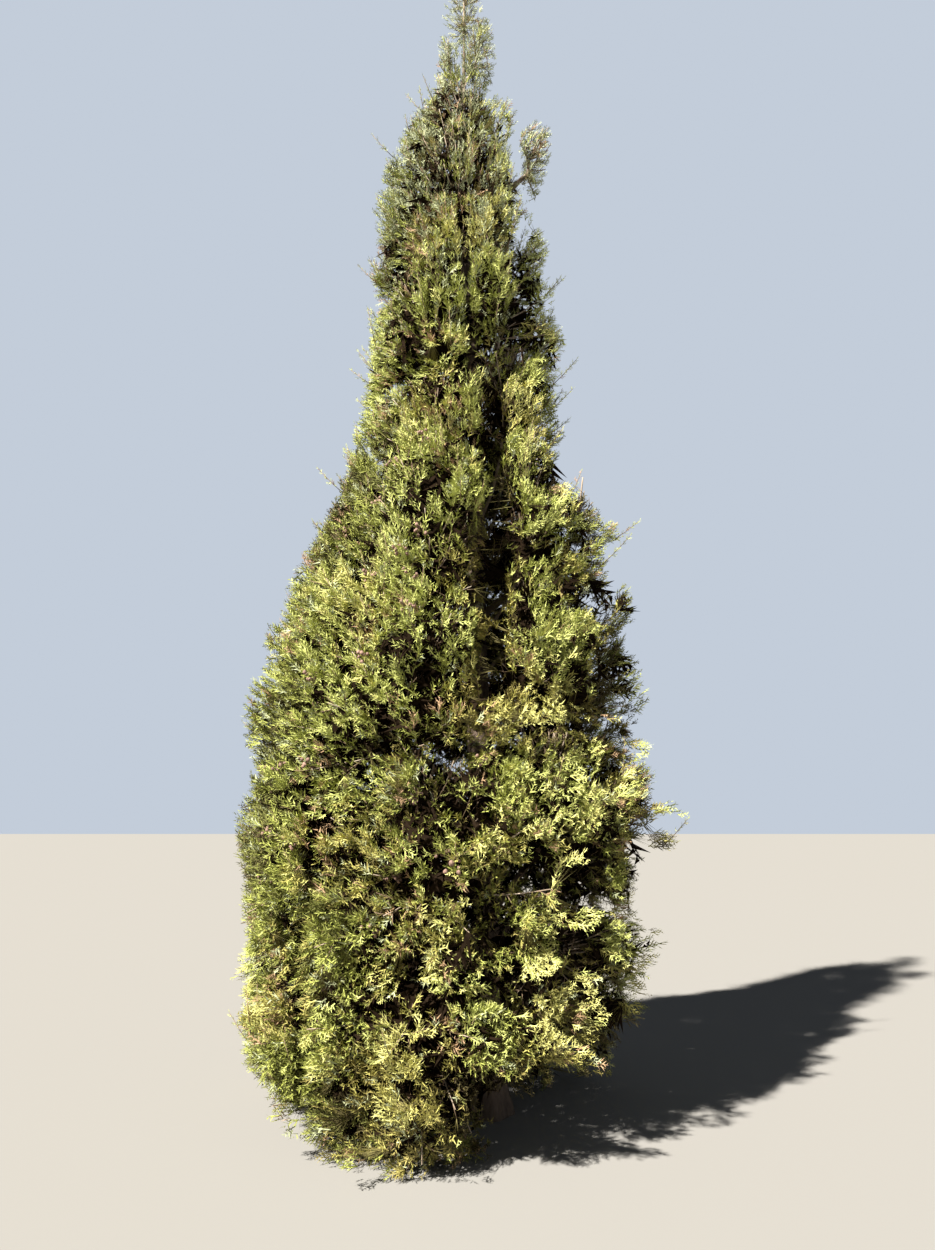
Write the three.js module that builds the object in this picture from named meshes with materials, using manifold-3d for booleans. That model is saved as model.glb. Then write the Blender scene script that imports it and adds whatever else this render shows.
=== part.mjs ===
// A Saharan cypress about 6.6 m tall, rooted in level ground: a trunk that runs up through the crown, boughs,
// and plumes of foliage round them. Millimetres, +Z up. The origin is the middle of the trunk's flat cut at
// ground level, -Y is the front of the tree, +X its right-hand side, and azimuths turn from +X towards +Y.
import * as THREE from "three";
import { mergeVertices } from "three/addons/utils/BufferGeometryUtils.js";
import Module from "manifold-3d";

const wasm = await Module();
wasm.setup();

// Trunk
const TRUNK_TOP = 6230; // height of its blunt tip, under the topmost tuft
const TRUNK_RADIUS = 84; // just above the root flare
const TRUNK_TIP_RADIUS = 5;
const TRUNK_TAPER = 0.85; // power of the taper, under 1 for a stem that stays stout
const FLARE_GAIN = 46; // what the root flare adds to the radius at the ground
const FLARE_HEIGHT = 150; // height in which the flare dies away to a third
const FLARE_LOBES = 5;
const FLARE_LOBE_DEPTH = 0.3;
const LEAN = -135; // how far the tip stands to the left of the foot
const LEAN_POWER = 1.3;
const SWAY = 16; // sideways wander of the stem
const SWAY_WAVE = 2900; // height of one full wander
const SWAY_DEPTH = -0.6; // the same wander towards the back, as a share
const TRUNK_SIDES = 12;
const TRUNK_STEPS = 18;
const TRUNK_RING_POWER = 1.5; // above 1, its rings stand closer together near the flare

// Boughs and the stems of the masses
const LIMB_GAP = 0.3; // between solids that touch
const BOUGH_ROOT_RADIUS = 21;
const BOUGH_TIP_RADIUS = 13;
const BOUGH_SIDES = 6;
const BOUGH_STEPS = 3;
const STEM_ROOT_RADIUS = 10;
const STEM_TIP_RADIUS = 4;
const STEM_SIDES = 4;
const STEM_STEPS = 5;
const STEM_TOP = 0.9; // its share of the half height of its mass, where no neighbour begins first
const STEM_START = 30; // how far a stem runs straight on from its bough
const KNEE_DEPTH = 0.3; // how far under a mass's middle its stem turns up, as a share of its fall
const LIMB_CLEARANCE = 26; // what foliage leaves free round the middle line of another mass's limb
const LIMB_POINT_GAP = 40; // between the points of that line that distances are taken to
const LIMB_GROOVE = 6; // and what its core leaves free round the limb's skin

// Crown
const ENTRY_DEPTH = 1.65; // how far inside its reach a mass takes its stem in, in half thicknesses
const GROUND_CLEARANCE = 14;
const SPACE_GAP = 0.05; // least difference of two masses' measures at a point that one of them may fill
const EGG_TAPER = 0.28; // how much narrower a plume is at its top than at its middle
const EGG_SLIMMEST = 0.3; // least share of its width, far above it
const EGG_FULLNESS = 2.5; // power of the egg's curve: 2 for an ellipse, more for fuller corners
const STEP = 8; // stride of a search along a ray
const SHARE_STEP = 0.02; // stride of a search along a stem
const LIFT_AZIMUTH = -35; // where the crown stands clear of the ground: in front, on the right

// The dense heart of a plume
const CORE_SHARE = 0.68; // least share of the way to the plume's own skin
const CORE_ROUGHNESS = 0.34; // what its furthest points add to that share
const CORE_MARGIN = 22; // what it leaves free before a neighbour's space
const CORE_MARGIN_ROUGHNESS = 60; // what its nearest points leave free beyond that

// Sprays and cones
const EVEN_STEPS = [0.7549, 0.5698]; // shares that scatter points evenly along the stem and round it
const MOST_TRIES = 90; // sprays tried in a mass
const FOOT_OPENING = 78; // angle from the stem at its foot, in degrees
const TOP_OPENING = 14; // and at its top
const OUTWARD = 120; // how far to each side of straight outwards the sprays turn, in degrees
const SPRAY_SKIN = 1.24; // how far out sprays may stand, in the egg's measure
const HEART = 0.42; // measure within which the sprays of a dense plume leave its stem
const SPRAY_THICKNESS = 6;
const SPRAY_WIDTH = 0.56; // share of a spray's length
const SPRAY_SHARE = 0.7; // of the way from the stem to the skin
const SPRAY_CURL = 0.16; // rise of a spray's tip, as a share of its length
const STEEPEST = 0.2; // below this level share of its direction, a spray curls outwards instead
const LONGEST_SPRAY = 460;
const TWIG_RADIUS = 4;
const TWIG_SIDES = 3;
const TWIG_OVERLAP = 0.3; // how far a twig runs on into its spray
const TWIG_TAPER = 0.6;
const CONE_RADIUS = 17;
const CONE_PLACE = 0.6; // its share of the way along the spray that bears it
const CONE_AZIMUTH = -125; // where the crown bears cones: in front, on the left
const CONE_SPREAD = 25; // how far to each side of that, in degrees

// Tiers of plumes, from the ground up.
// middle: height of a plume's middle. tall, wide, thick: its half sizes along, across and away from the
// trunk. reach: how far it goes from the trunk's axis. left: what the reach gains towards the left of the
// tree, and loses towards the right, as a share. hollow: bare space round the trunk's axis. tilt: how far a
// plume leans outwards, in degrees. turn: azimuth of the tier's first plume, in degrees. lift: how far the
// foot of the tier stands up where the crown is clear of the ground. stagger: how much higher every second
// plume stands. fall: how far below its middle a plume's stem enters it, as a share of tall. drop: how far
// under that its limb leaves the trunk. sprays, shortest: how many, and the length of the shortest. detail:
// how finely its core is drawn. cones: how many it bears, where any. bough: whether it hangs on a bough.
const TIERS = [
  {
    name: "skirt", count: 6, turn: -118, bough: true, hollow: 290, cones: 0,
    middle: 650, tall: 640, wide: 620, thick: 350, reach: 1060, left: 0.16,
    tilt: 2, lift: 520, stagger: 0, fall: 0.1, drop: 230, sprays: 5, shortest: 200, detail: 2,
  },
  {
    name: "low", count: 6, turn: -112, bough: true, hollow: 290, cones: 3,
    middle: 1420, tall: 800, wide: 600, thick: 360, reach: 1090, left: 0.18,
    tilt: 2, lift: 0, stagger: 160, fall: 0.3, drop: 330, sprays: 5, shortest: 200, detail: 2,
  },
  {
    name: "middle", count: 5, turn: -124, bough: true, hollow: 240, cones: 3,
    middle: 2200, tall: 800, wide: 600, thick: 345, reach: 1020, left: 0.19,
    tilt: -3, lift: 0, stagger: 200, fall: 0.4, drop: 330, sprays: 5, shortest: 200, detail: 2,
  },
  {
    name: "shoulder", count: 5, turn: -116, bough: false, hollow: 160, cones: 2,
    middle: 2900, tall: 740, wide: 490, thick: 270, reach: 810, left: 0.20,
    tilt: -6, lift: 0, stagger: 200, fall: 0.5, drop: 250, sprays: 5, shortest: 180, detail: 1,
  },
  {
    name: "waist", count: 4, turn: -136, bough: false, hollow: 80, cones: 0,
    middle: 3640, tall: 780, wide: 450, thick: 230, reach: 560, left: 0.14,
    tilt: 0, lift: 0, stagger: 160, fall: 0.6, drop: 200, sprays: 4, shortest: 160, detail: 1,
  },
  {
    name: "high", count: 3, turn: -150, bough: false, hollow: 66, cones: 0,
    middle: 4310, tall: 770, wide: 480, thick: 225, reach: 530, left: 0.10,
    tilt: 0, lift: 0, stagger: 140, fall: 0.6, drop: 180, sprays: 4, shortest: 150, detail: 1,
  },
  {
    name: "crest", count: 3, turn: -100, bough: false, hollow: 54, cones: 0,
    middle: 4930, tall: 680, wide: 410, thick: 195, reach: 470, left: 0.14,
    tilt: 0, lift: 0, stagger: 100, fall: 0.6, drop: 150, sprays: 4, shortest: 140, detail: 1,
  },
  {
    name: "spire", count: 3, turn: -95, bough: false, hollow: 36, cones: 0,
    middle: 5420, tall: 440, wide: 260, thick: 135, reach: 310, left: 0.30,
    tilt: 0, lift: 0, stagger: 60, fall: 0.6, drop: 120, sprays: 4, shortest: 110, detail: 1,
  },
];

// Open tufts that stand out of the crown, with no core, placed by azimuth, height and reach as plumes are.
const TUFTS = [
  {
    name: "tuft_right_high", azimuth: -8, bough: true, hollow: 300, cones: 0,
    middle: 5350, tall: 220, wide: 150, thick: 120, reach: 560,
    tilt: 22, fall: 0.6, drop: 330, sprays: 7, shortest: 120,
  },
  {
    name: "tuft_right_shoulder", azimuth: -10, bough: true, hollow: 450, cones: 0,
    middle: 3090, tall: 250, wide: 180, thick: 140, reach: 740,
    tilt: 8, fall: 0.6, drop: 420, sprays: 7, shortest: 130,
  },
  {
    name: "leader_left", azimuth: 175, bough: false, hollow: 24, cones: 0,
    middle: 5930, tall: 250, wide: 130, thick: 80, reach: 175,
    tilt: 7, fall: 0.5, drop: 60, sprays: 6, shortest: 100,
  },
  {
    name: "leader_right", azimuth: -15, bough: false, hollow: 24, cones: 0,
    middle: 6070, tall: 240, wide: 130, thick: 85, reach: 190,
    tilt: 8, fall: 0.5, drop: 60, sprays: 6, shortest: 100,
  },
];
const LEADER_TIP = {
  name: "leader_tip", azimuth: 0, bough: false, hollow: 0, cones: 0, crowning: true,
  middle: 6400, tall: 210, wide: 120, thick: 120, reach: 149,
  tilt: 0, sprays: 6, shortest: 80,
};

const MATERIALS = {
  bark: new THREE.MeshStandardMaterial({ color: 0x6b5a48, roughness: 0.95, metalness: 0 }),
  foliage: new THREE.MeshStandardMaterial({ color: 0x6f7d38, roughness: 0.8, metalness: 0 }),
};

const radians = THREE.MathUtils.degToRad;

// A repeatable value from 0 to 1 for a whole number and a salt.
function chance(number, salt) {
  const wave = Math.sin(number * 12.9898 + salt * 78.233) * 43758.5453;
  return wave - Math.floor(wave);
}

// A geometry with only its positions, and with those that coincide made one.
function welded(geometry, tolerance) {
  const bare = geometry.clone();
  bare.deleteAttribute("normal");
  bare.deleteAttribute("uv");
  return mergeVertices(bare, tolerance);
}

function solidOf(geometry) {
  const closed = welded(geometry, 1e-3);
  return new wasm.Manifold(
    new wasm.Mesh({
      numProp: 3,
      vertProperties: new Float32Array(closed.attributes.position.array),
      triVerts: new Uint32Array(closed.index.array),
    }),
  );
}

// The largest body of a solid, as a geometry: scraps that fusing leaves loose are dropped.
function geometryOf(solid) {
  const bodies = solid.decompose();
  const main = bodies.reduce((best, body) => (body.volume() > best.volume() ? body : best));
  const mesh = main.getMesh();
  return new THREE.BufferGeometry()
    .setAttribute("position", new THREE.BufferAttribute(mesh.vertProperties, 3))
    .setIndex(new THREE.BufferAttribute(mesh.triVerts, 1));
}

function namedMesh(name, geometry, material) {
  const mesh = new THREE.Mesh(geometry, material);
  mesh.name = name;
  geometry.computeVertexNormals();
  return mesh;
}

// A closed tapering tube: a cylinder whose rings are carried along a path. frameAt(t) gives a ring's middle
// and its two unit directions, and radiusAt(t, angle) its radius.
function taperedTube(frameAt, radiusAt, sides, steps) {
  const geometry = new THREE.CylinderGeometry(1, 1, 1, sides, steps);
  const position = geometry.attributes.position;
  for (let i = 0; i < position.count; i++) {
    const t = position.getY(i) + 0.5;
    const [x, z] = [position.getX(i), position.getZ(i)];
    const offAxis = Math.hypot(x, z);
    const radius = offAxis * radiusAt(t, Math.atan2(z, x));
    const { middle, across, ahead } = frameAt(t);
    const at = middle.clone();
    if (offAxis > 0) {
      at.addScaledVector(across, (radius * x) / offAxis);
      at.addScaledVector(ahead, (radius * z) / offAxis);
    }
    position.setXYZ(i, at.x, at.y, at.z);
  }
  return geometry;
}

// Trunk

function trunkAxis(height) {
  const share = THREE.MathUtils.clamp(height / TRUNK_TOP, 0, 1);
  const wander = SWAY * Math.sin((2 * Math.PI * height) / SWAY_WAVE) * Math.min(1, height / SWAY_WAVE);
  return new THREE.Vector3(LEAN * share ** LEAN_POWER + wander, SWAY_DEPTH * wander, height);
}

function trunkRadius(height, angle = 0) {
  const share = THREE.MathUtils.clamp(1 - height / TRUNK_TOP, 0, 1);
  const stem = TRUNK_TIP_RADIUS + (TRUNK_RADIUS - TRUNK_TIP_RADIUS) * share ** TRUNK_TAPER;
  const flare = FLARE_GAIN * Math.exp(-height / FLARE_HEIGHT);
  return stem + flare * (1 + FLARE_LOBE_DEPTH * Math.cos(FLARE_LOBES * angle));
}

function trunkTube(grow = 0) {
  const heightAt = (t) => TRUNK_TOP * t ** TRUNK_RING_POWER;
  return taperedTube(
    (t) => ({
      middle: trunkAxis(heightAt(t)),
      across: new THREE.Vector3(1, 0, 0),
      ahead: new THREE.Vector3(0, -1, 0),
    }),
    (t, angle) => trunkRadius(heightAt(t), angle) + grow,
    TRUNK_SIDES,
    TRUNK_STEPS,
  );
}

// Masses

// Works out a mass's place from its sizes: its middle, the directions of its half sizes, and how far from the
// trunk's axis its space and its stem begin.
function placed(sizes, azimuth, reach) {
  const home = trunkAxis(sizes.middle);
  const out = new THREE.Vector3(Math.cos(azimuth), Math.sin(azimuth), 0);
  const across = new THREE.Vector3(-Math.sin(azimuth), Math.cos(azimuth), 0);
  const tilt = radians(sizes.tilt);
  const up = new THREE.Vector3(0, 0, Math.cos(tilt)).addScaledVector(out, Math.sin(tilt));
  const away = out.clone().multiplyScalar(Math.cos(tilt)).add(new THREE.Vector3(0, 0, -Math.sin(tilt)));
  const middle = home.clone().addScaledVector(out, reach - SPRAY_SKIN * sizes.thick);
  const hollow = Math.max(sizes.hollow, reach - ENTRY_DEPTH * sizes.thick);
  return { ...sizes, azimuth, out, across, up, away, middle, hollow };
}

function tierMasses(tier) {
  return Array.from({ length: tier.count }, (_, index) => {
    const azimuth = radians(tier.turn + (360 * index) / tier.count);
    const reach = tier.reach * (1 - tier.left * Math.cos(azimuth));
    const lift = 0.5 * tier.lift * Math.max(0, Math.cos(azimuth - radians(LIFT_AZIMUTH))) ** 2;
    const stagger = tier.stagger * (index % 2 ? 0.5 : -0.5);
    const sizes = { ...tier, middle: tier.middle + lift + stagger, tall: tier.tall - lift };
    const bearing = Math.cos(azimuth - radians(CONE_AZIMUTH)) > Math.cos(radians(CONE_SPREAD));
    const cones = bearing ? tier.cones : 0;
    return { ...placed(sizes, azimuth, reach), name: `${tier.name}_${index + 1}`, core: true, cones };
  });
}

const masses = [
  ...TIERS.flatMap(tierMasses),
  ...[...TUFTS, LEADER_TIP].map((tuft) => placed(tuft, radians(tuft.azimuth), tuft.reach)),
];
masses.forEach((mass, index) => (mass.seed = index + 1));

// How far out a point lies in a mass's egg: 0 in its middle and 1 on its skin.
function measure(mass, point) {
  const [x, y, z] = [point.x - mass.middle.x, point.y - mass.middle.y, point.z - mass.middle.z];
  const along = (x * mass.up.x + y * mass.up.y + z * mass.up.z) / mass.tall;
  const slim = Math.max(EGG_SLIMMEST, 1 - EGG_TAPER * along);
  const away = (x * mass.away.x + y * mass.away.y + z * mass.away.z) / (mass.thick * slim);
  const across = (x * mass.across.x + y * mass.across.y) / (mass.wide * slim);
  const sum = [along, away, across].reduce((total, part) => total + Math.abs(part) ** EGG_FULLNESS, 0);
  return sum ** (1 / EGG_FULLNESS);
}

// Whether a point is off the ground, clear of the trunk, and nearer to a mass's own middle than to another's.
function isOwn(mass, point, gap) {
  if (point.z < GROUND_CLEARANCE) return false;
  const axis = trunkAxis(point.z);
  if (Math.hypot(point.x - axis.x, point.y - axis.y) < mass.hollow) return false;
  const own = measure(mass, point);
  return masses.every((other) => other === mass || measure(other, point) - own > gap);
}

// Whether it is also clear of the other masses' limbs.
function isFree(mass, point, gap) {
  if (!isOwn(mass, point, gap)) return false;
  return masses.every((other) => other === mass || distanceTo(other.limbPoints, point) > LIMB_CLEARANCE);
}

// Whether a point is in the space that a mass keeps to.
function inSpace(mass, point) {
  return measure(mass, point) < SPRAY_SKIN && isFree(mass, point, SPACE_GAP);
}

function distanceTo(line, point) {
  return line.reduce((least, at) => Math.min(least, at.distanceTo(point)), Infinity);
}

// How far a ray from a point stays in a mass's space.
function reachAlong(mass, from, direction, furthest) {
  const point = from.clone();
  let length = 0;
  while (length < furthest) {
    point.addScaledVector(direction, STEP);
    if (!inSpace(mass, point)) break;
    length += STEP;
  }
  return length;
}

// The top of a mass's stem: under the top of its egg, and lower where a neighbour's space begins first.
function highestOwn(mass) {
  const at = (share) => mass.middle.clone().addScaledVector(mass.up, share * mass.tall);
  let share = STEM_TOP;
  while (share > 0 && !isOwn(mass, at(share), 2 * SPACE_GAP)) share -= SHARE_STEP;
  return at(share);
}

// The lines that a mass hangs on, in the upright plane of its azimuth: its bough where it has one, and its
// stem, from the bough's tip or the trunk, through the place where it enters the mass, to the mass's top.
function spine(mass) {
  const top = highestOwn(mass);
  if (mass.crowning) {
    const foot = trunkAxis(TRUNK_TOP).setZ(TRUNK_TOP + LIMB_GAP);
    return { stem: new THREE.LineCurve3(foot, top) };
  }
  const entryHeight = mass.middle.z - mass.fall * mass.tall;
  const entry = trunkAxis(entryHeight).addScaledVector(mass.out, mass.hollow);
  const root = trunkAxis(entryHeight - mass.drop);
  const knee = mass.middle.clone().addScaledVector(mass.up, -KNEE_DEPTH * mass.fall * mass.tall);
  if (!mass.bough) return { stem: new THREE.CatmullRomCurve3([root, entry, knee, top]) };
  const slope = entry.clone().sub(root).normalize();
  const start = entry.clone().addScaledVector(slope, LIMB_GAP);
  return {
    boughLine: new THREE.LineCurve3(root, entry),
    stem: new THREE.CatmullRomCurve3([start, start.clone().addScaledVector(slope, STEM_START), knee, top]),
  };
}

// The part of its stem, as two shares, on which a mass's measure stays under a limit.
function rangeWithin(mass, limit) {
  const shares = Array.from({ length: 1 + Math.round(1 / SHARE_STEP) }, (_, i) => i * SHARE_STEP);
  const inside = shares.filter((share) => measure(mass, mass.stem.getPoint(share)) < limit);
  return [inside[0], inside[inside.length - 1]];
}

for (const mass of masses) {
  Object.assign(mass, spine(mass));
  const lines = mass.bough ? [mass.boughLine, mass.stem] : [mass.stem];
  mass.limbPoints = lines.flatMap((line) => line.getPoints(Math.ceil(line.getLength() / LIMB_POINT_GAP)));
  mass.sprayRange = rangeWithin(mass, mass.core ? HEART : 1);
}

function twigTube(line) {
  const along = line.getTangent(0);
  const across = new THREE.Vector3(0, 0, 1).cross(along).normalize();
  const ahead = across.clone().cross(along);
  return taperedTube(
    (t) => ({ middle: line.getPoint(t), across, ahead }),
    (t) => TWIG_RADIUS * (1 - TWIG_TAPER * t),
    TWIG_SIDES,
    1,
  );
}

// A limb along a curve that lies in the upright plane of a mass's azimuth.
function limbTube(mass, curve, from, to, sides, steps, grow = 0) {
  return taperedTube(
    (t) => {
      const along = curve.getTangent(t);
      return { middle: curve.getPoint(t), across: mass.across, ahead: mass.across.clone().cross(along) };
    },
    (t) => THREE.MathUtils.lerp(from, to, t) + grow,
    sides,
    steps,
  );
}

function boughTube(mass, grow = 0) {
  return limbTube(mass, mass.boughLine, BOUGH_ROOT_RADIUS, BOUGH_TIP_RADIUS, BOUGH_SIDES, BOUGH_STEPS, grow);
}

function stemTube(mass, grow = 0) {
  return limbTube(mass, mass.stem, STEM_ROOT_RADIUS, STEM_TIP_RADIUS, STEM_SIDES, STEM_STEPS, grow);
}

// The dense heart of a plume: a ball whose skin is drawn out to a share of the mass's space.
function coreGeometry(mass) {
  const ball = welded(new THREE.IcosahedronGeometry(1, mass.detail), 1e-4);
  const position = ball.attributes.position;
  const direction = new THREE.Vector3();
  for (let i = 0; i < position.count; i++) {
    direction.fromBufferAttribute(position, i);
    const spread = new THREE.Vector3()
      .addScaledVector(mass.away, direction.x * mass.thick)
      .addScaledVector(mass.across, direction.y * mass.wide)
      .addScaledVector(mass.up, direction.z * mass.tall);
    const full = reachAlong(mass, mass.middle, spread.normalize(), 2 * mass.tall);
    const skin = mass.middle.clone().addScaledVector(spread, full);
    // Where the space ends before the egg does, a neighbour or the trunk is near, and the core nearly fills
    // it.
    const inwards = chance(i, mass.seed);
    const share = CORE_SHARE + CORE_ROUGHNESS * (1 - inwards) ** 2;
    const most = full - CORE_MARGIN - CORE_MARGIN_ROUGHNESS * inwards;
    const out = Math.min((share / measure(mass, skin)) * full, most);
    const at = mass.middle.clone().addScaledVector(spread, out);
    position.setXYZ(i, at.x, at.y, at.z);
  }
  return ball;
}

// Outline of a toothed spray that lies along +X from its root and is one unit long.
function sprayOutline() {
  const teeth = [
    [0.52, 0.5],
    [0.64, 0.24],
  ];
  const shape = new THREE.Shape();
  shape.moveTo(0, 0);
  teeth.forEach(([x, y]) => shape.lineTo(x, -y * SPRAY_WIDTH));
  shape.lineTo(1, 0);
  teeth.toReversed().forEach(([x, y]) => shape.lineTo(x, y * SPRAY_WIDTH));
  return shape;
}
const SPRAY_OUTLINE = sprayOutline();

// Where a spray lies: its root, the direction and length of its midrib, its roll about that, and the
// direction in which its tip curls.
function sprayFrame(mass, root, direction, length, roll) {
  const curl = new THREE.Vector3(0, 0, 1).addScaledVector(direction, -direction.z);
  if (curl.length() < STEEPEST) curl.copy(mass.out);
  curl.normalize();
  const side = new THREE.Vector3().crossVectors(direction, curl).normalize().applyAxisAngle(direction, roll);
  const normal = new THREE.Vector3().crossVectors(direction, side);
  return { root, direction, length, curl, side, normal };
}

// A point of a spray, by its shares along the midrib and to its side, and its distance off the blade.
function sprayPoint({ root, direction, length, curl, side, normal }, x, y, off) {
  return root
    .clone()
    .addScaledVector(direction, x * length)
    .addScaledVector(side, y * length)
    .addScaledVector(normal, off)
    .addScaledVector(curl, SPRAY_CURL * length * x * x);
}

function sprayGeometry(frame) {
  const geometry = new THREE.ExtrudeGeometry(SPRAY_OUTLINE, { depth: 1, bevelEnabled: false, steps: 1 });
  const position = geometry.attributes.position;
  for (let i = 0; i < position.count; i++) {
    const off = (position.getZ(i) - 0.5) * SPRAY_THICKNESS;
    const at = sprayPoint(frame, position.getX(i), position.getY(i), off);
    position.setXYZ(i, at.x, at.y, at.z);
  }
  return geometry;
}

function coneGeometry(frame) {
  const at = sprayPoint(frame, CONE_PLACE, 0, CONE_RADIUS / 2);
  return new THREE.IcosahedronGeometry(CONE_RADIUS, 0).translate(at.x, at.y, at.z);
}

// The sprays of a mass, by the rule that its twigs follow: they leave the stem evenly along it and round its
// outer side, nearly square to it at its foot and close along it at its top, and end at the skin of the
// space. One that would leave the space or touch a limb is skipped. In a dense plume the core hides their
// twigs.
function spraysOf(mass) {
  const sprays = [];
  const first = [chance(mass.seed, 1), chance(mass.seed, 2)];
  for (let k = 0; k < MOST_TRIES && sprays.length < mass.sprays; k++) {
    const [share, round] = EVEN_STEPS.map((step, i) => (first[i] + k * step) % 1);
    const at = THREE.MathUtils.lerp(...mass.sprayRange, share);
    const from = mass.stem.getPoint(at);
    const direction = branching(mass, mass.stem.getTangent(at), share, round);
    const reach = reachAlong(mass, from, direction, 2 * mass.tall);
    if (reach < mass.shortest) continue;
    const length = Math.min(LONGEST_SPRAY, Math.max(mass.shortest, SPRAY_SHARE * reach));
    const root = from.clone().addScaledVector(direction, reach - length);
    const frame = sprayFrame(mass, root, direction, length, Math.PI * (chance(k, mass.seed + 0.5) - 0.5));
    const pieces = [sprayGeometry(frame)];
    if (sprays.length < mass.cones) pieces.push(coneGeometry(frame));
    if (!pieces.every((piece) => isAllFree(mass, piece))) continue;
    const twig = new THREE.LineCurve3(from, sprayPoint(frame, TWIG_OVERLAP, 0, 0));
    if (!mass.core) pieces.push(twigTube(twig));
    sprays.push(wasm.Manifold.union(pieces.map(solidOf)));
  }
  return sprays;
}

// The direction in which a twig leaves its stem, for its shares of the way up it and round it.
function branching(mass, along, share, round) {
  const opening = radians(THREE.MathUtils.lerp(FOOT_OPENING, TOP_OPENING, share));
  const turn = radians(OUTWARD) * (2 * round - 1);
  const ahead = mass.across.clone().cross(along);
  return along
    .clone()
    .multiplyScalar(Math.cos(opening))
    .addScaledVector(mass.across, Math.sin(turn) * Math.sin(opening))
    .addScaledVector(ahead, Math.cos(turn) * Math.sin(opening));
}

function isAllFree(mass, geometry) {
  const position = geometry.attributes.position;
  const point = new THREE.Vector3();
  for (let i = 0; i < position.count; i++) {
    if (!isFree(mass, point.fromBufferAttribute(position, i), SPACE_GAP / 2)) return false;
  }
  return true;
}

// A mass with everything fused, and with grooves where other masses' limbs pass.
function foliage(mass, trunkRoom, limbRooms) {
  const pieces = [solidOf(stemTube(mass)), ...spraysOf(mass)];
  if (mass.core) pieces.push(solidOf(coreGeometry(mass)));
  const rooms = limbRooms.filter((room) => room.owner !== mass).map((room) => room.solid);
  return wasm.Manifold.union(pieces).subtract(wasm.Manifold.union([trunkRoom, ...rooms]));
}

function build() {
  const tree = new THREE.Group();
  const add = (name, solid, material) => tree.add(namedMesh(name, geometryOf(solid), material));
  const trunkRoom = solidOf(trunkTube(LIMB_GAP / Math.cos(Math.PI / TRUNK_SIDES)));
  const hanging = masses.filter((mass) => mass.bough);
  const limbRooms = [
    ...masses.map((mass) => ({ owner: mass, solid: solidOf(stemTube(mass, LIMB_GROOVE)) })),
    ...hanging.map((mass) => ({ owner: null, solid: solidOf(boughTube(mass, LIMB_GROOVE)) })),
  ];

  add("trunk", solidOf(trunkTube()), MATERIALS.bark);
  for (const mass of hanging) {
    add(`bough_${mass.name}`, solidOf(boughTube(mass)).subtract(trunkRoom), MATERIALS.bark);
  }
  for (const mass of masses) {
    add(`foliage_${mass.name}`, foliage(mass, trunkRoom, limbRooms), MATERIALS.foliage);
  }
  return tree;
}

export default build();
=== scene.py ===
"""Looks of a Saharan cypress about 6.6 m tall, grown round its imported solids.

Boughs, branches, twigs and sprays follow the rule of the part's source: each plume keeps to its own space,
what grows in it leaves its stem by even steps along it and round it, and ends at the skin of that space.
Here the rule is carried on to finer twigs. Metres, +Z up, -Y the front of the tree, +X its right-hand side,
and azimuths turn from +X towards +Y.
"""

import itertools
import logging
import math
from dataclasses import dataclass, field
from enum import Enum

import bpy
import numpy as np
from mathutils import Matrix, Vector


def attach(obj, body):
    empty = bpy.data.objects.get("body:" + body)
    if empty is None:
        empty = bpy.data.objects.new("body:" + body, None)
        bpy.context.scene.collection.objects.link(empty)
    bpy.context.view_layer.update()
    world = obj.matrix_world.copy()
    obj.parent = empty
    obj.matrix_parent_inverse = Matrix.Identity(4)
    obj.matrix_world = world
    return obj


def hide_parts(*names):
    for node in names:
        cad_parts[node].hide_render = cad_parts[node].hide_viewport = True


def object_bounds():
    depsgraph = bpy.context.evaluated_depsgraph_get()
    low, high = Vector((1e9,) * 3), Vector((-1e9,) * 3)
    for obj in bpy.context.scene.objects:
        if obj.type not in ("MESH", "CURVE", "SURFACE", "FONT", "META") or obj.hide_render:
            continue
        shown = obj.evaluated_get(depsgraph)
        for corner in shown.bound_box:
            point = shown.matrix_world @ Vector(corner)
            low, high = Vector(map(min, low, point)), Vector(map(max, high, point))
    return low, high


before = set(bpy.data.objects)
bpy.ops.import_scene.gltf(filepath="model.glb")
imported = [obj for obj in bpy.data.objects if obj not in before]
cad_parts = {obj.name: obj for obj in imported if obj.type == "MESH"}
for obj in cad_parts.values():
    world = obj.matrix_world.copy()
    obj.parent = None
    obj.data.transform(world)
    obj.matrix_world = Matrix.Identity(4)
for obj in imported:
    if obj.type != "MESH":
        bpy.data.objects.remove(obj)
cad_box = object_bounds()
log = logging.getLogger("cypress")

ROOT_BODY = "root"
UP = np.array([0.0, 0.0, 1.0])
TINY = 1e-9
NEARLY_UPRIGHT = 0.9  # how far a unit direction points up or down
ALWAYS = (-9.0, -8.0)  # levels that every height, place and cosine is above
EVEN_STEPS = (0.7549, 0.5698)  # shares that scatter points evenly along a stem and round it
EVEN_STEPS_IN_SPACE = 1.2207440846057596 ** -np.arange(1.0, 4.0)  # and evenly in a box
GOLDEN_TURN = math.pi * (3 - math.sqrt(5))
HASH_STEP, HASH_SALT, HASH_GAIN = 12.9898, 78.233, 43758.5453
NOISE_LATTICE = np.array([127.1, 311.7, 74.7])
MOST_TRIANGLES = 190_000  # in one piece

Array = np.ndarray
Span = tuple[float, float]
Triple = tuple[float, float, float]


def unit(vectors: Array) -> Array:
    """Vectors scaled to length 1."""
    return vectors / np.maximum(np.linalg.norm(vectors, axis=-1, keepdims=True), TINY)


def chance(number: Array | float, salt: float) -> Array:
    """A repeatable value from 0 to 1 for each number and salt, as in the part's source."""
    wave = np.sin(np.asarray(number, float) * HASH_STEP + salt * HASH_SALT) * HASH_GAIN
    return wave - np.floor(wave)


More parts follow.
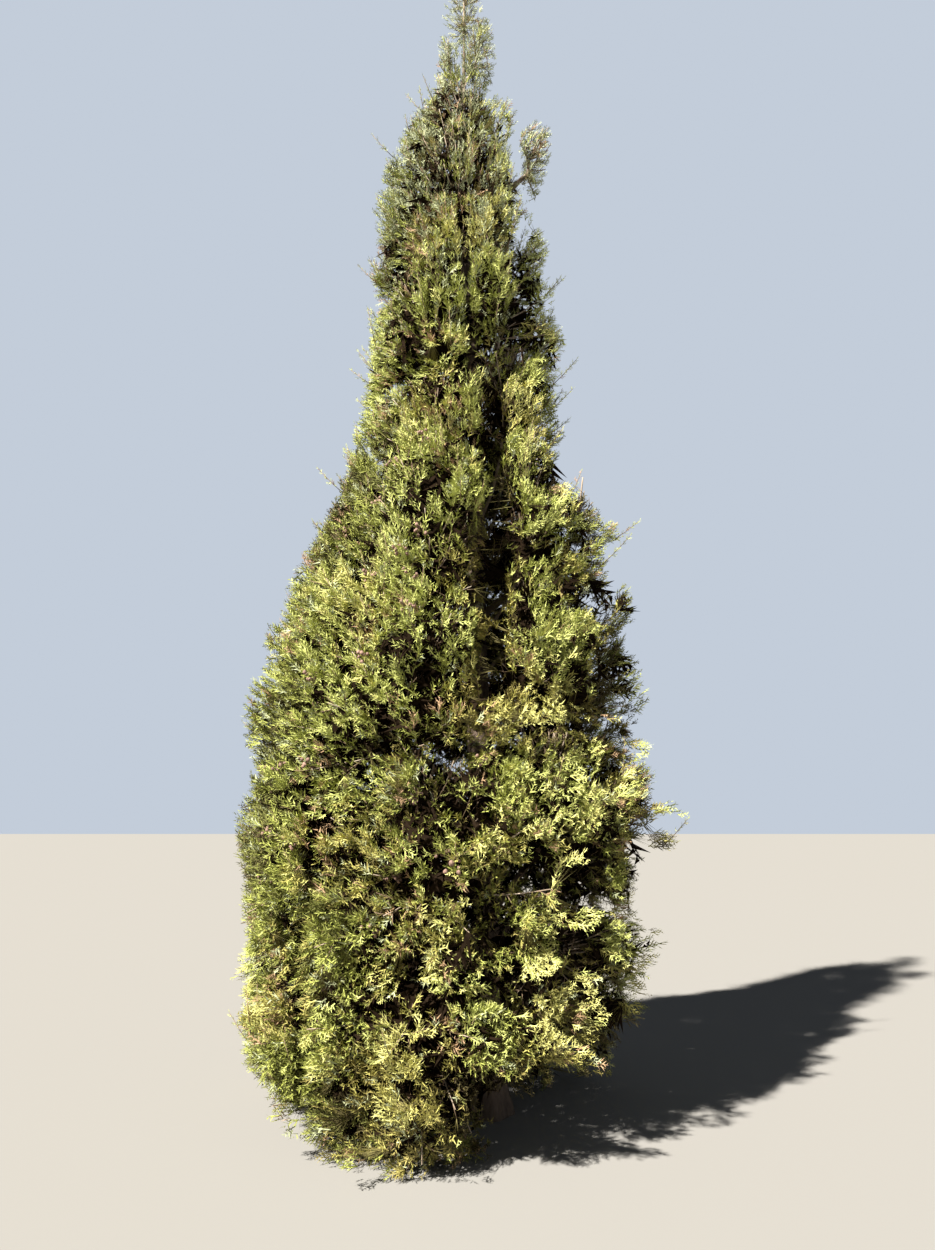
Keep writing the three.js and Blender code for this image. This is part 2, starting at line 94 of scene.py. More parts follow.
def between(ends: Span, share: Array | float) -> Array | float:
    """The value at a share of the way from one end to the other."""
    return ends[0] + (ends[1] - ends[0]) * share


def smooth(low: float, high: float, value: Array) -> Array:
    """0 below low, 1 above high, with an even rise between them."""
    share = np.clip((value - low) / (high - low), 0, 1)
    return share * share * (3 - 2 * share)


def lumps(points: Array, size: float, salt: float) -> Array:
    """Smooth noise in space.

    Args:
        points: Places, one a row.
        size: About how wide a lump is.
        salt: Picks one noise among many.

    Returns:
        A value from 0 to 1 for each point.
    """
    at = points / size
    cell = np.floor(at)
    share = at - cell
    share = share * share * (3 - 2 * share)
    total = np.zeros(len(points))
    for corner in itertools.product((0, 1), repeat=3):
        weight = np.where(np.array(corner) == 1, share, 1 - share).prod(-1)
        total += weight * chance((cell + corner) @ NOISE_LATTICE, salt)
    return total


def turned(vectors: Array, axes: Array, angles: Array) -> Array:
    """Turns vectors, row by row.

    Args:
        vectors: The vectors.
        axes: Unit axes that they turn about.
        angles: By how much, in radians.

    Returns:
        The turned vectors.
    """
    cosine, sine = np.cos(angles)[:, None], np.sin(angles)[:, None]
    along = (vectors * axes).sum(-1, keepdims=True) * axes
    return vectors * cosine + np.cross(axes, vectors) * sine + along * (1 - cosine)


def plane_of(axes: Array) -> tuple[Array, Array]:
    """Two directions square to each axis and to each other.

    Args:
        axes: Unit axes, one a row.

    Returns:
        The two unit directions of each.
    """
    upright = np.abs(axes[:, 2:]) > NEARLY_UPRIGHT
    side = unit(np.cross(axes, np.where(upright, np.array([1.0, 0.0, 0.0]), UP)))
    return side, np.cross(side, axes)


def placed(points: Array, *axes: Array) -> Array:
    """Copies of a shape, each turned its own way.

    Args:
        points: The shape's corners.
        axes: Where its x, y and z axes point in each copy.

    Returns:
        The corners, as copies by corners by 3.
    """
    first, second, third = (points[None, :, i : i + 1] * axis[:, None] for i, axis in enumerate(axes))
    return first + second + third


# Materials


class Wire:
    """A value in a material's node tree, which arithmetic adds Math nodes to."""

    def __init__(self, graph: "Graph", socket: bpy.types.NodeSocket) -> None:
        """Keeps a value.

        Args:
            graph: The graph that it belongs to.
            socket: The socket that gives it.
        """
        self.graph = graph
        self.socket = socket

    def maths(self, operation: str, *values: "Wire | float") -> "Wire":
        """The result of a Math node.

        Args:
            operation: The node's operation.
            values: What goes into it, in order.

        Returns:
            Its output.
        """
        inputs = dict(enumerate(values))
        return self.graph.node("ShaderNodeMath", {"operation": operation}, inputs)[0]

    def __add__(self, other: "Wire | float") -> "Wire":
        """self + other."""
        return self.maths("ADD", self, other)

    def __radd__(self, other: float) -> "Wire":
        """other + self."""
        return self.maths("ADD", other, self)

    def __sub__(self, other: "Wire | float") -> "Wire":
        """self - other."""
        return self.maths("SUBTRACT", self, other)

    def __rsub__(self, other: float) -> "Wire":
        """other - self."""
        return self.maths("SUBTRACT", other, self)

    def __mul__(self, other: "Wire | float") -> "Wire":
        """self * other."""
        return self.maths("MULTIPLY", self, other)

    def __rmul__(self, other: float) -> "Wire":
        """other * self."""
        return self.maths("MULTIPLY", other, self)

    def clamped(self) -> "Wire":
        """The value kept between 0 and 1."""
        return self.maths("MINIMUM", self.maths("MAXIMUM", self, 0.0), 1.0)

    def stretched(self, gain: float, less: float) -> "Wire":
        """The value times gain, less a bit, kept between 0 and 1."""
        return (self * gain - less).clamped()


class Graph:
    """The node tree of one material."""

    def __init__(self, name: str) -> None:
        """Makes an empty material.

        Args:
            name: Its name.
        """
        self.material = bpy.data.materials.new(name)
        self.material.use_nodes = True
        self.tree = self.material.node_tree
        self.tree.nodes.clear()

    def node(self, kind: str, settings: dict | None = None, inputs: dict | None = None) -> list[Wire]:
        """Adds a node.

        Args:
            kind: Its Blender type.
            settings: Its properties, set first. stops gives a ramp's (place, colour) pairs.
            inputs: Values or wires by socket name or number.

        Returns:
            Its outputs, in order.
        """
        made = self.tree.nodes.new(kind)
        for name, value in (settings or {}).items():
            if name == "stops":
                self._set_stops(made.color_ramp, value)
            else:
                setattr(made, name, value)
        for name, value in (inputs or {}).items():
            if isinstance(value, Wire):
                self.tree.links.new(value.socket, made.inputs[name])
            else:
                made.inputs[name].default_value = value
        return [Wire(self, socket) for socket in made.outputs]

    @staticmethod
    def _set_stops(ramp: bpy.types.ColorRamp, stops: list[tuple[float, tuple]]) -> None:
        """Gives a ramp its stops.

        Args:
            ramp: The ramp.
            stops: Pairs of a place and a colour.
        """
        while len(ramp.elements) < len(stops):
            ramp.elements.new(1.0)
        for element, (place, colour) in zip(ramp.elements, stops):
            element.position = place
            element.color = (*colour, 1.0)

    def place(self, stretch: Triple) -> Wire:
        """Object coordinates, each multiplied by its share of stretch."""
        texture = self.node("ShaderNodeTexCoord")[3]
        return self.node("ShaderNodeVectorMath", {"operation": "MULTIPLY"}, {0: texture, 1: stretch})[0]

    def noise(self, where: Wire, scale: float, detail: float, roughness: float = 0.6) -> Wire:
        """The value of a noise texture at a place."""
        inputs = {"Vector": where, "Scale": scale, "Detail": detail, "Roughness": roughness}
        return self.node("ShaderNodeTexNoise", {}, inputs)[0]

    def ramp(self, value: Wire, stops: list[tuple[float, tuple]]) -> Wire:
        """The colour of a ramp at a value."""
        return self.node("ShaderNodeValToRGB", {"stops": stops}, {0: value})[0]

    def blend(self, share: Wire | float, first: Wire | tuple, second: Wire | tuple) -> Wire:
        """A colour between two.

        Args:
            share: How much of the second there is.
            first: A colour.
            second: Another colour.

        Returns:
            The mixed colour.
        """
        first = first if isinstance(first, Wire) else (*first, 1.0)
        second = second if isinstance(second, Wire) else (*second, 1.0)
        inputs = {0: share, 6: first, 7: second}
        return self.node("ShaderNodeMix", {"data_type": "RGBA"}, inputs)[2]

    def finish(self, inputs: dict) -> bpy.types.Material:
        """Puts a surface shader at the end of the tree.

        Args:
            inputs: The shader's inputs, by name.

        Returns:
            The material.
        """
        shader = self.node("ShaderNodeBsdfPrincipled", {}, inputs)[0]
        self.node("ShaderNodeOutputMaterial", {}, {"Surface": shader})
        return self.material


@dataclass(frozen=True)
class LeafFinish:
    """Scale leaves of one age, or at one level of painted sunlight or shade on the leaf colour."""

    name: str
    colour: Triple
    roughness: float = 0.62
    shine: float = 0.14

    def material(self) -> bpy.types.Material:
        """A plain colour, since which spray bears it is dealt out by place.

        Returns:
            The material.
        """
        graph = Graph(self.name)
        inputs = {
            "Base Color": (*self.colour, 1.0),
            "Roughness": self.roughness,
            "Specular IOR Level": self.shine,
        }
        return graph.finish(inputs)


class Tint(Enum):
    """The colours of the sprays, from painted sunlight on the tips to painted shade and the dead ones
    inside.
    """

    # In pairs, warm then green, the leaf colour under painted light: sunlit, half lit and dim; after them
    # painted shade.
    GILDED = LeafFinish("leaves_gilded", (0.52, 0.505, 0.185))
    LIME = LeafFinish("leaves_lime", (0.425, 0.455, 0.145))
    STRAW = LeafFinish("leaves_straw", (0.38, 0.35, 0.105))
    FRESH = LeafFinish("leaves_fresh", (0.285, 0.31, 0.075))
    OLIVE = LeafFinish("leaves_olive", (0.24, 0.205, 0.065))
    MOSS = LeafFinish("leaves_moss", (0.15, 0.155, 0.045))
    DEEP = LeafFinish("leaves_deep", (0.09, 0.075, 0.032))
    GREY = LeafFinish("leaves_grey", (0.36, 0.39, 0.235))
    TAN = LeafFinish("leaves_tan", (0.31, 0.205, 0.12))
    # Near black: the dead sprays' own dark colour, darkened further as painted shade inside the crown.
    DEAD = LeafFinish("leaves_dead", (0.012, 0.008, 0.005), roughness=1.0, shine=0.0)


SHOOT = LeafFinish("green_shoots", (0.12, 0.105, 0.04), roughness=0.8, shine=0.1)
TWIG = LeafFinish("brown_twigs", (0.17, 0.12, 0.08), roughness=0.85, shine=0.1)


@dataclass(frozen=True)
class BarkFinish:
    """Stringy bark: long fibres over a furrowed stem."""

    name: str = "stringy_bark"
    furrow: Triple = (0.035, 0.024, 0.017)
    fibre: Triple = (0.13, 0.092, 0.066)
    weathered: Triple = (0.24, 0.21, 0.18)
    levels: Triple = (0.36, 0.62, 0.8)
    fibre_scale: float = 46.0
    fibre_share: float = 0.7
    strand_fineness: float = 3.4
    drawn_out: float = 0.07
    patch_scale: float = 3.2
    patch_stretch: float = 0.5
    relief: float = 0.006
    relief_strength: float = 0.9
    roughest: float = 1.1
    roughness_fall: float = 0.4

    def material(self) -> bpy.types.Material:
        """Fibres by noise drawn out along the stem, and grey weathering in patches.

        Returns:
            The material.
        """
        graph = Graph(self.name)
        along = graph.place((1.0, 1.0, self.drawn_out))
        fibres = graph.noise(along, self.fibre_scale, detail=6.0)
        strands = graph.noise(along, self.fibre_scale * self.strand_fineness, detail=4.0)
        patches = graph.noise(graph.place((1.0, 1.0, self.patch_stretch)), self.patch_scale, detail=3.0)
        height = fibres * self.fibre_share + strands * (1 - self.fibre_share)
        stops = list(zip(self.levels, (self.furrow, self.fibre, self.weathered)))
        share = patches.stretched(gain=1.6, less=0.5)
        colour = graph.blend(share, graph.ramp(height, stops), self.fibre)
        relief = {"Height": height, "Distance": self.relief, "Strength": self.relief_strength}
        bump = graph.node("ShaderNodeBump", {}, relief)[0]
        rough = (self.roughest - height * self.roughness_fall).clamped()
        return graph.finish({"Base Color": colour, "Roughness": rough, "Normal": bump})


@dataclass(frozen=True)
class TwigFinish:
    """Smooth brown bark of the stems of the plumes and their branches."""

    name: str = "branch_bark"
    young: Triple = (0.19, 0.13, 0.085)
    old: Triple = (0.31, 0.26, 0.205)
    mottle_scale: float = 14.0
    roughness: float = 0.85

    def material(self) -> bpy.types.Material:
        """Two browns by slow noise.

        Returns:
            The material.
        """
        graph = Graph(self.name)
        mottle = graph.noise(graph.place((1.0, 1.0, 1.0)), self.mottle_scale, detail=3.0)
        colour = graph.blend(mottle.stretched(gain=2.4, less=0.7), self.young, self.old)
        return graph.finish({"Base Color": colour, "Roughness": self.roughness})


@dataclass(frozen=True)
class ConeFinish:
    """Woody cones, pinkish brown where their scales are weathered."""

    name: str = "cone_scales"
    seam: Triple = (0.055, 0.032, 0.022)
    scale: Triple = (0.27, 0.165, 0.125)
    spot_scale: float = 90.0
    roughness: float = 0.78

    def material(self) -> bpy.types.Material:
        """A dull brown that noise darkens in spots.

        Returns:
            The material.
        """
        graph = Graph(self.name)
        spots = graph.noise(graph.place((1.0, 1.0, 1.0)), self.spot_scale, detail=4.0)
        colour = graph.blend(spots.stretched(gain=2.2, less=0.5), self.seam, self.scale)
        return graph.finish({"Base Color": colour, "Roughness": self.roughness})


# Meshes


@dataclass
class Sheaf:
    """Many small shapes of one kind, joined into pieces with a bounded number of triangles."""

    points: list[Array] = field(default_factory=list)
    faces: list[Array] = field(default_factory=list)

    def add(self, points: Array, faces: Array) -> None:
        """Adds copies of one shape.

        Args:
            points: Places of each copy's corners, as copies by corners by 3.
            faces: The shape's triangles, by its own corners.
        """
        if len(points):
            self.points.append(points)
            self.faces.append(faces)

    def count(self) -> int:
        """How many triangles it holds."""
        return sum(len(points) * len(faces) for points, faces in zip(self.points, self.faces))

    def _batches(self) -> list[list[tuple[Array, Array]]]:
        """Deals its shapes out so that no piece has too many triangles.

        Returns:
            A lot of copies and triangles for each piece.
        """
        lots: list[list[tuple[Array, Array]]] = [[]]
        room = MOST_TRIANGLES
        for points, faces in zip(self.points, self.faces):
            start = 0
            while start < len(points):
                if room < len(faces):
                    lots.append([])
                    room = MOST_TRIANGLES
                stop = min(len(points), start + room // len(faces))
                lots[-1].append((points[start:stop], faces))
                room -= (stop - start) * len(faces)
                start = stop
        return lots

    def cast(
        self, name: str, material: bpy.types.Material, nodes: list[str], soft: bool
    ) -> None:
        """Makes the pieces, which ride on the root body and stand for nodes.

        Args:
            name: Name of the piece, with a number after it where there are several.
            material: Its material.
            nodes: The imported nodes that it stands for.
            soft: Whether its faces are shaded as one smooth surface.
        """
        lots = self._batches()
        for number, lot in enumerate(lots, 1):
            corners, triangles, first = [], [], 0
            for points, faces in lot:
                copies, size = points.shape[:2]
                corners.append(points.reshape(-1, 3))
                starts = first + size * np.arange(copies)
                triangles.append((faces[None] + starts[:, None, None]).reshape(-1, 3))
                first += copies * size
            label = name if len(lots) == 1 else f"{name}_{number}"
            piece = mesh_piece(label, np.concatenate(corners), np.concatenate(triangles), material, soft)
            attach(piece, ROOT_BODY)
            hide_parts(*nodes)
            log.info("%s: %d triangles", label, sum(len(part) for part in triangles))


def mesh_piece(
    name: str, points: Array, faces: Array, material: bpy.types.Material, soft: bool
) -> bpy.types.Object:
    """An object from arrays.

    Args:
        name: Its name.
        points: Corners, one a row.
        faces: Triangles as three corner numbers.
        material: Its material.
        soft: Whether its faces are shaded as one smooth surface.

    Returns:
        The object, in the scene.
    """
    mesh = bpy.data.meshes.new(name)
    mesh.vertices.add(len(points))
    mesh.vertices.foreach_set("co", points.astype(np.float32).ravel())
    mesh.loops.add(3 * len(faces))
    mesh.loops.foreach_set("vertex_index", faces.astype(np.int32).ravel())
    mesh.polygons.add(len(faces))
    mesh.polygons.foreach_set("loop_start", np.arange(0, 3 * len(faces), 3, dtype=np.int32))
    mesh.polygons.foreach_set("use_smooth", np.full(len(faces), soft))
    mesh.update(calc_edges=True)
    mesh.materials.append(material)
    made = bpy.data.objects.new(name, mesh)
    bpy.context.scene.collection.objects.link(made)
    return made


def tubes(paths: Array, radii: Array, sides: int) -> tuple[Array, Array]:
    """Closed tapering tubes along paths.

    Args:
        paths: Middles of their rings, as tubes by rings by 3.
        radii: Radius of each ring.
        sides: Number of sides.

    Returns:
        Corners, as tubes by corners by 3, and the triangles of one tube.
    """
    rings = paths.shape[1]
    along = unit(np.gradient(paths, axis=1))
    whole = unit(paths[:, -1] - paths[:, 0])
    first = plane_of(whole)[0][:, None]
    across = unit(first - (first * along).sum(-1, keepdims=True) * along)
    ahead = np.cross(along, across)
    angles = 2 * math.pi * np.arange(sides) / sides
    cosines, sines = np.cos(angles)[:, None], np.sin(angles)[:, None]
    spokes = cosines * across[:, :, None] + sines * ahead[:, :, None]
    points = paths[:, :, None] + radii[:, :, None, None] * spokes
    return points.reshape(len(paths), -1, 3), ring_faces(rings, sides)


def spikes(shoots: "Shoots", radius: float) -> tuple[Array, Array]:
    """Slim three-sided spikes along short shoots.

    Args:
        shoots: What they follow.
        radius: Radius at the foot.

    Returns:
        Corners, as spikes by corners by 3, and the triangles of one spike.
    """
    side, normal = plane_of(shoots.headings)
    angles = 2 * math.pi * np.arange(3) / 3
    feet = [shoots.roots + radius * (math.cos(turn) * side + math.sin(turn) * normal) for turn in angles]
    return np.stack([*feet, shoots.tips], 1), np.array([[0, 1, 3], [1, 2, 3], [2, 0, 3]])


def ring_faces(rings: int, sides: int) -> Array:
    """The triangles of a tube with both ends closed.

    Args:
        rings: Number of rings.
        sides: Number of corners in a ring.

    Returns:
        Three corner numbers a row, where the corners run round each ring in turn.
    """
    here = np.arange(sides)
    there = (here + 1) % sides
    faces = []
    for ring in range(rings - 1):
        low, high = ring * sides, (ring + 1) * sides
        faces.append(np.stack([low + here, low + there, high + there], 1))
        faces.append(np.stack([low + here, high + there, high + here], 1))
    fan = np.arange(1, sides - 1)
    foot = np.stack([np.zeros_like(fan), fan + 1, fan], 1)
    top = (rings - 1) * sides
    tip = np.stack([np.full_like(fan, top), top + fan, top + fan + 1], 1)
    return np.concatenate([*faces, foot, tip])


@dataclass
class Curve:
    """A smooth line through points, as the part's source draws its stems."""

    points: Array
    samples: int = 160

    def __post_init__(self) -> None:
        """Works out places along it."""
        shares = np.linspace(0, 1, self.samples)
        self.places = np.array([self._point(share) for share in shares])
        self.tangents = unit(np.gradient(self.places, axis=0))

    def _point(self, share: float) -> Array:
        """One place on a centripetal spline.

        Args:
            share: Its share of the way.

        Returns:
            The place.
        """
        last = len(self.points) - 1
        if last == 1:
            return self.points[0] + share * (self.points[1] - self.points[0])
        here = min(int(share * last), last - 1)
        weight = share * last - here
        before = self.points[here - 1] if here else 2 * self.points[0] - self.points[1]
        after = self.points[here + 2] if here + 2 <= last else 2 * self.points[last] - self.points[last - 1]
        knots = [before, self.points[here], self.points[here + 1], after]
        gaps = [math.sqrt(np.linalg.norm(end - start)) for start, end in zip(knots, knots[1:])]
        slopes = [
            (knots[i] - knots[i - 1]) / gaps[i - 1]
            - (knots[i + 1] - knots[i - 1]) / (gaps[i - 1] + gaps[i])
            + (knots[i + 1] - knots[i]) / gaps[i]
            for i in (1, 2)
        ]
        first, second = (slope * gaps[1] for slope in slopes)
        start, end = knots[1], knots[2]
        square = -3 * start + 3 * end - 2 * first - second
        cube = 2 * start - 2 * end + first + second
        return start + first * weight + square * weight**2 + cube * weight**3

    def _read(self, table: Array, shares: Array) -> Array:
        """Looks up a table of values along the line.

        Args:
            table: The values, one row a sample.
            shares: Shares of the way.

        Returns:
            A row for each share.
        """
        at = np.clip(shares, 0, 1) * (self.samples - 1)
        low = np.minimum(at.astype(int), self.samples - 2)
        part = (at - low)[:, None]
        return table[low] * (1 - part) + table[low + 1] * part

    def at(self, shares: Array) -> Array:
        """Places at shares of the way."""
        return self._read(self.places, shares)

    def heading(self, shares: Array) -> Array:
        """Unit directions at shares of the way."""
        return unit(self._read(self.tangents, shares))


# Trunk


@dataclass
class Trunk:
    """The stem that runs up through the crown, with its root flare."""

    top: float = 6.230
    radius: float = 0.084
    tip_radius: float = 0.005
    taper: float = 0.85
    flare_gain: float = 0.046
    flare_height: float = 0.150
    flare_lobes: int = 5
    flare_lobe_depth: float = 0.3
    lean: float = -0.135
    lean_power: float = 1.3
    sway: float = 0.016
    sway_wave: float = 2.9
    sway_depth: float = -0.6
    sides: int = 48
    rings: int = 330
    ring_power: float = 1.3
    ridge: float = 0.0045
    ridge_size: float = 0.014
    ridge_run: float = 0.28
    ridge_middle: float = 0.7
    ridge_least: float = 0.1
    strand_gain: float = 0.4
    strand_fineness: float = 3.0

    def axis(self, heights: Array) -> Array:
        """Middle of the stem.

        Args:
            heights: Where up the stem.

        Returns:
            A place for each height.
        """
        heights = np.asarray(heights, float)
        share = np.clip(heights / self.top, 0, 1)
        swing = np.sin(2 * np.pi * heights / self.sway_wave)
        wander = self.sway * swing * np.minimum(1, heights / self.sway_wave)
        across = self.lean * share**self.lean_power + wander
        return np.stack([across, self.sway_depth * wander, heights], -1)

    def girth(self, heights: Array, angles: Array) -> Array:
        """Radius of the stem.

        Args:
            heights: Where up the stem.
            angles: Where round it.

        Returns:
            A radius for each pair.
        """
        share = np.clip(1 - heights / self.top, 0, 1)
        stem = self.tip_radius + (self.radius - self.tip_radius) * share**self.taper
        flare = self.flare_gain * np.exp(-heights / self.flare_height)
        return stem + flare * (1 + self.flare_lobe_depth * np.cos(self.flare_lobes * angles))

    def build(self, material: bpy.types.Material) -> None:
        """Makes the trunk with long ridges of bark.

        Args:
            material: Its bark.
        """
        heights = self.top * np.linspace(0, 1, self.rings) ** self.ring_power
        angles = 2 * np.pi * np.arange(self.sides) / self.sides
        high, turn = np.meshgrid(heights, angles, indexing="ij")
        radius = self.girth(high, turn)
        spoke = np.stack([np.cos(turn), -np.sin(turn), np.zeros_like(turn)], -1)
        bare = self.axis(high) + radius[..., None] * spoke
        drawn = (bare * np.array([1, 1, self.ridge_size / self.ridge_run])).reshape(-1, 3)
        ridges = lumps(drawn, self.ridge_size, salt=3.7).reshape(high.shape)
        strands = lumps(drawn, self.ridge_size / self.strand_fineness, salt=8.1).reshape(high.shape)
        relief = self.ridge * (np.abs(2 * ridges - 1) + self.strand_gain * strands - self.ridge_middle)
        relief *= np.clip(radius / self.radius, self.ridge_least, 1)
        points = bare + relief[..., None] * spoke
        points[0, :, 2] = 0
        sheaf = Sheaf()
        sheaf.add(points.reshape(1, -1, 3), ring_faces(self.rings, self.sides)[:, ::-1])
        sheaf.cast("trunk_bark", material, ["trunk"], soft=True)


# Plumes of foliage


@dataclass(frozen=True, kw_only=True)
class Mass:
    """The sizes of a mass of foliage, as in the part's source."""

    name: str
    middle: float
    tall: float
    wide: float
    thick: float
    reach: float
    hollow: float
    tilt: float = 0.0
    fall: float = 0.0
    drop: float = 0.0
    branches: int
    cones: int = 0
    fullness: float = 1.0
    spread: float = 0.0
    bough: bool = False
    crowning: bool = False
    dense: bool = True


@dataclass(frozen=True, kw_only=True)
class Tier(Mass):
    """A ring of plumes that close up round the trunk."""

    count: int
    turn: float
    left: float
    lift: float = 0.0
    stagger: float = 0.0


@dataclass(frozen=True, kw_only=True)
class Tuft(Mass):
    """An open tuft that stands out of the crown."""

    azimuth: float
    spread: float = -0.04
    dense: bool = False


TIERS = (
    Tier(
        name="skirt", count=6, turn=-118, left=0.16, lift=0.52, middle=0.65, tall=0.64, wide=0.62,
        thick=0.35, reach=1.06, hollow=0.29, tilt=2, fall=0.1, drop=0.23, branches=44, bough=True,
    ),
    Tier(
        name="low", count=6, turn=-112, left=0.18, stagger=0.16, middle=1.42, tall=0.8, wide=0.6,
        thick=0.36, reach=1.09, hollow=0.29, tilt=2, fall=0.3, drop=0.33, branches=48, cones=7,
        bough=True,
    ),
    Tier(
        name="middle", count=5, turn=-124, left=0.19, stagger=0.2, middle=2.2, tall=0.8, wide=0.6,
        thick=0.345, reach=1.02, hollow=0.24, tilt=-3, fall=0.4, drop=0.33, branches=50, cones=7,
        bough=True,
    ),
    Tier(
        name="shoulder", count=5, turn=-116, left=0.2, stagger=0.2, middle=2.9, tall=0.74, wide=0.49,
        thick=0.27, reach=0.81, hollow=0.16, tilt=-6, fall=0.5, drop=0.25, branches=44, cones=5,
    ),
    Tier(
        name="waist", count=4, turn=-136, left=0.14, stagger=0.16, middle=3.64, tall=0.78, wide=0.45,
        thick=0.23, reach=0.56, hollow=0.08, fall=0.6, drop=0.2, branches=42,
    ),
    Tier(
        name="high", count=3, turn=-150, left=0.1, stagger=0.14, middle=4.31, tall=0.77, wide=0.48,
        thick=0.225, reach=0.53, hollow=0.066, fall=0.6, drop=0.18, branches=46,
    ),
    Tier(
        name="crest", count=3, turn=-100, left=0.14, stagger=0.1, middle=4.93, tall=0.68, wide=0.41,
        thick=0.195, reach=0.47, hollow=0.054, fall=0.6, drop=0.15, branches=40,
    ),
    Tier(
        name="spire", count=3, turn=-95, left=0.3, stagger=0.06, middle=5.42, tall=0.44, wide=0.26,
        thick=0.135, reach=0.31, hollow=0.036, fall=0.6, drop=0.12, branches=22,
    ),
)


TUFTS = (
    Tuft(
        name="tuft_right_high", azimuth=-8, middle=5.35, tall=0.22, wide=0.15, thick=0.12, reach=0.56,
        hollow=0.3, tilt=22, fall=0.6, drop=0.33, branches=12, fullness=0.8, bough=True,
    ),
    Tuft(
        name="tuft_right_shoulder", azimuth=-10, middle=3.09, tall=0.25, wide=0.18, thick=0.14,
        reach=0.74, hollow=0.45, tilt=8, fall=0.6, drop=0.42, branches=13, fullness=0.8, bough=True,
    ),
    Tuft(
        name="leader_left", azimuth=175, middle=5.93, tall=0.25, wide=0.13, thick=0.08, reach=0.175,
        hollow=0.024, tilt=7, fall=0.5, drop=0.06, branches=9, fullness=0.7, spread=0.16,
    ),
    Tuft(
        name="leader_right", azimuth=-15, middle=6.07, tall=0.24, wide=0.13, thick=0.085, reach=0.19,
        hollow=0.024, tilt=8, fall=0.5, drop=0.06, branches=9, fullness=0.7, spread=0.16,
    ),
    Tuft(
        name="leader_tip", azimuth=0, middle=6.4, tall=0.21, wide=0.12, thick=0.12, reach=0.149,
        hollow=0, branches=9, fullness=0.4, spread=0.06, crowning=True,
    ),
)


@dataclass(frozen=True)
class Patch:
    """A part of the crown that has more or less of something, as the photograph shows.

    Each pair is where the effect sets in and where it is full. It goes by height, by the place from left to
    right, by the cosine of the angle from an azimuth, or by how far the place is to either side.
    """

    part: str
    gain: float
    heights: Span = ALWAYS
    until: Span = ALWAYS
    across: Span = ALWAYS
    flanks: Span = ALWAYS
    azimuth: float = 0.0
    facing: Span = ALWAYS
    breadth: float = math.inf
    width: float = math.inf

    def at(self, places: Array) -> Array:
        """What it adds.

        Args:
            places: Where.

        Returns:
            The share of its gain at each place.
        """
        azimuths = np.arctan2(places[:, 1], places[:, 0])
        off = azimuths - math.radians(self.azimuth)
        limits = (
            (self.heights, places[:, 2]),
            (self.until, places[:, 2]),
            (self.across, places[:, 0]),
            (self.flanks, np.abs(np.cos(azimuths))),
            (self.facing, np.cos(off)),
        )
        gain = np.full(len(places), self.gain)
        for levels, values in limits:
            if levels != ALWAYS:
                gain *= smooth(*levels, values)
        return gain * np.exp(-((off / self.breadth) ** 2) - (places[:, 0] / self.width) ** 2)


@dataclass(frozen=True)
class Gaps:
    """Hollows of one kind in the crown's skin, spread by noise."""

    depth: float
    size: float
    levels: Span
    salt: float
    stretch: Triple = (1.0, 1.0, 1.0)

    def at(self, places: Array) -> Array:
        """How much they take off the skin's measure at each place."""
        return self.depth * smooth(*self.levels, lumps(places * self.stretch, self.size, self.salt))


@dataclass(frozen=True)
class Nip:
    """A place where the photograph shows the crown nipped in."""

    middle: Triple
    size: Triple
    depth: float
    tufts_too: bool = False

    def at(self, places: Array) -> Array:
        """How much it takes off the skin's measure at each place."""
        return self.depth * np.exp(-(((places - self.middle) / self.size) ** 2).sum(1))


NIPS = (
    Nip(middle=(0.25, -0.10, 5.30), size=(0.16, 0.30, 0.20), depth=0.3),
    Nip(middle=(0.72, -0.15, 3.40), size=(0.25, 0.45, 0.20), depth=1.2, tufts_too=True),
)
DRAWN_IN = (
    Patch("foot on the right", 0.42, azimuth=-27.0, facing=(0.35, 0.7), heights=(0.58, 0.15)),
    Patch("left", 0.07, azimuth=-168.0, facing=(0.55, 0.95)),
    Patch("foot on the left", 0.32, azimuth=-168.0, facing=(0.8, 0.98), heights=(0.45, 0.05)),
)


@dataclass
class Plume:
    """A mass of foliage in its place, and the limbs that it hangs on."""

    sizes: Mass
    name: str
    seed: int
    azimuth: float
    middle: Array
    tall: float
    hollow: float
    stem: Curve | None = None
    bough_line: Array | None = None

    def __post_init__(self) -> None:
        """Works out the directions of its half sizes."""
        cosine, sine = math.cos(self.azimuth), math.sin(self.azimuth)
        self.out = np.array([cosine, sine, 0.0])
        self.across = np.array([-sine, cosine, 0.0])
        lean = math.radians(self.sizes.tilt)
        self.up = math.cos(lean) * UP + math.sin(lean) * self.out
        self.away = math.cos(lean) * self.out - math.sin(lean) * UP

    @property
    def node(self) -> str:
        """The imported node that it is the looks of."""
        return f"foliage_{self.name}"


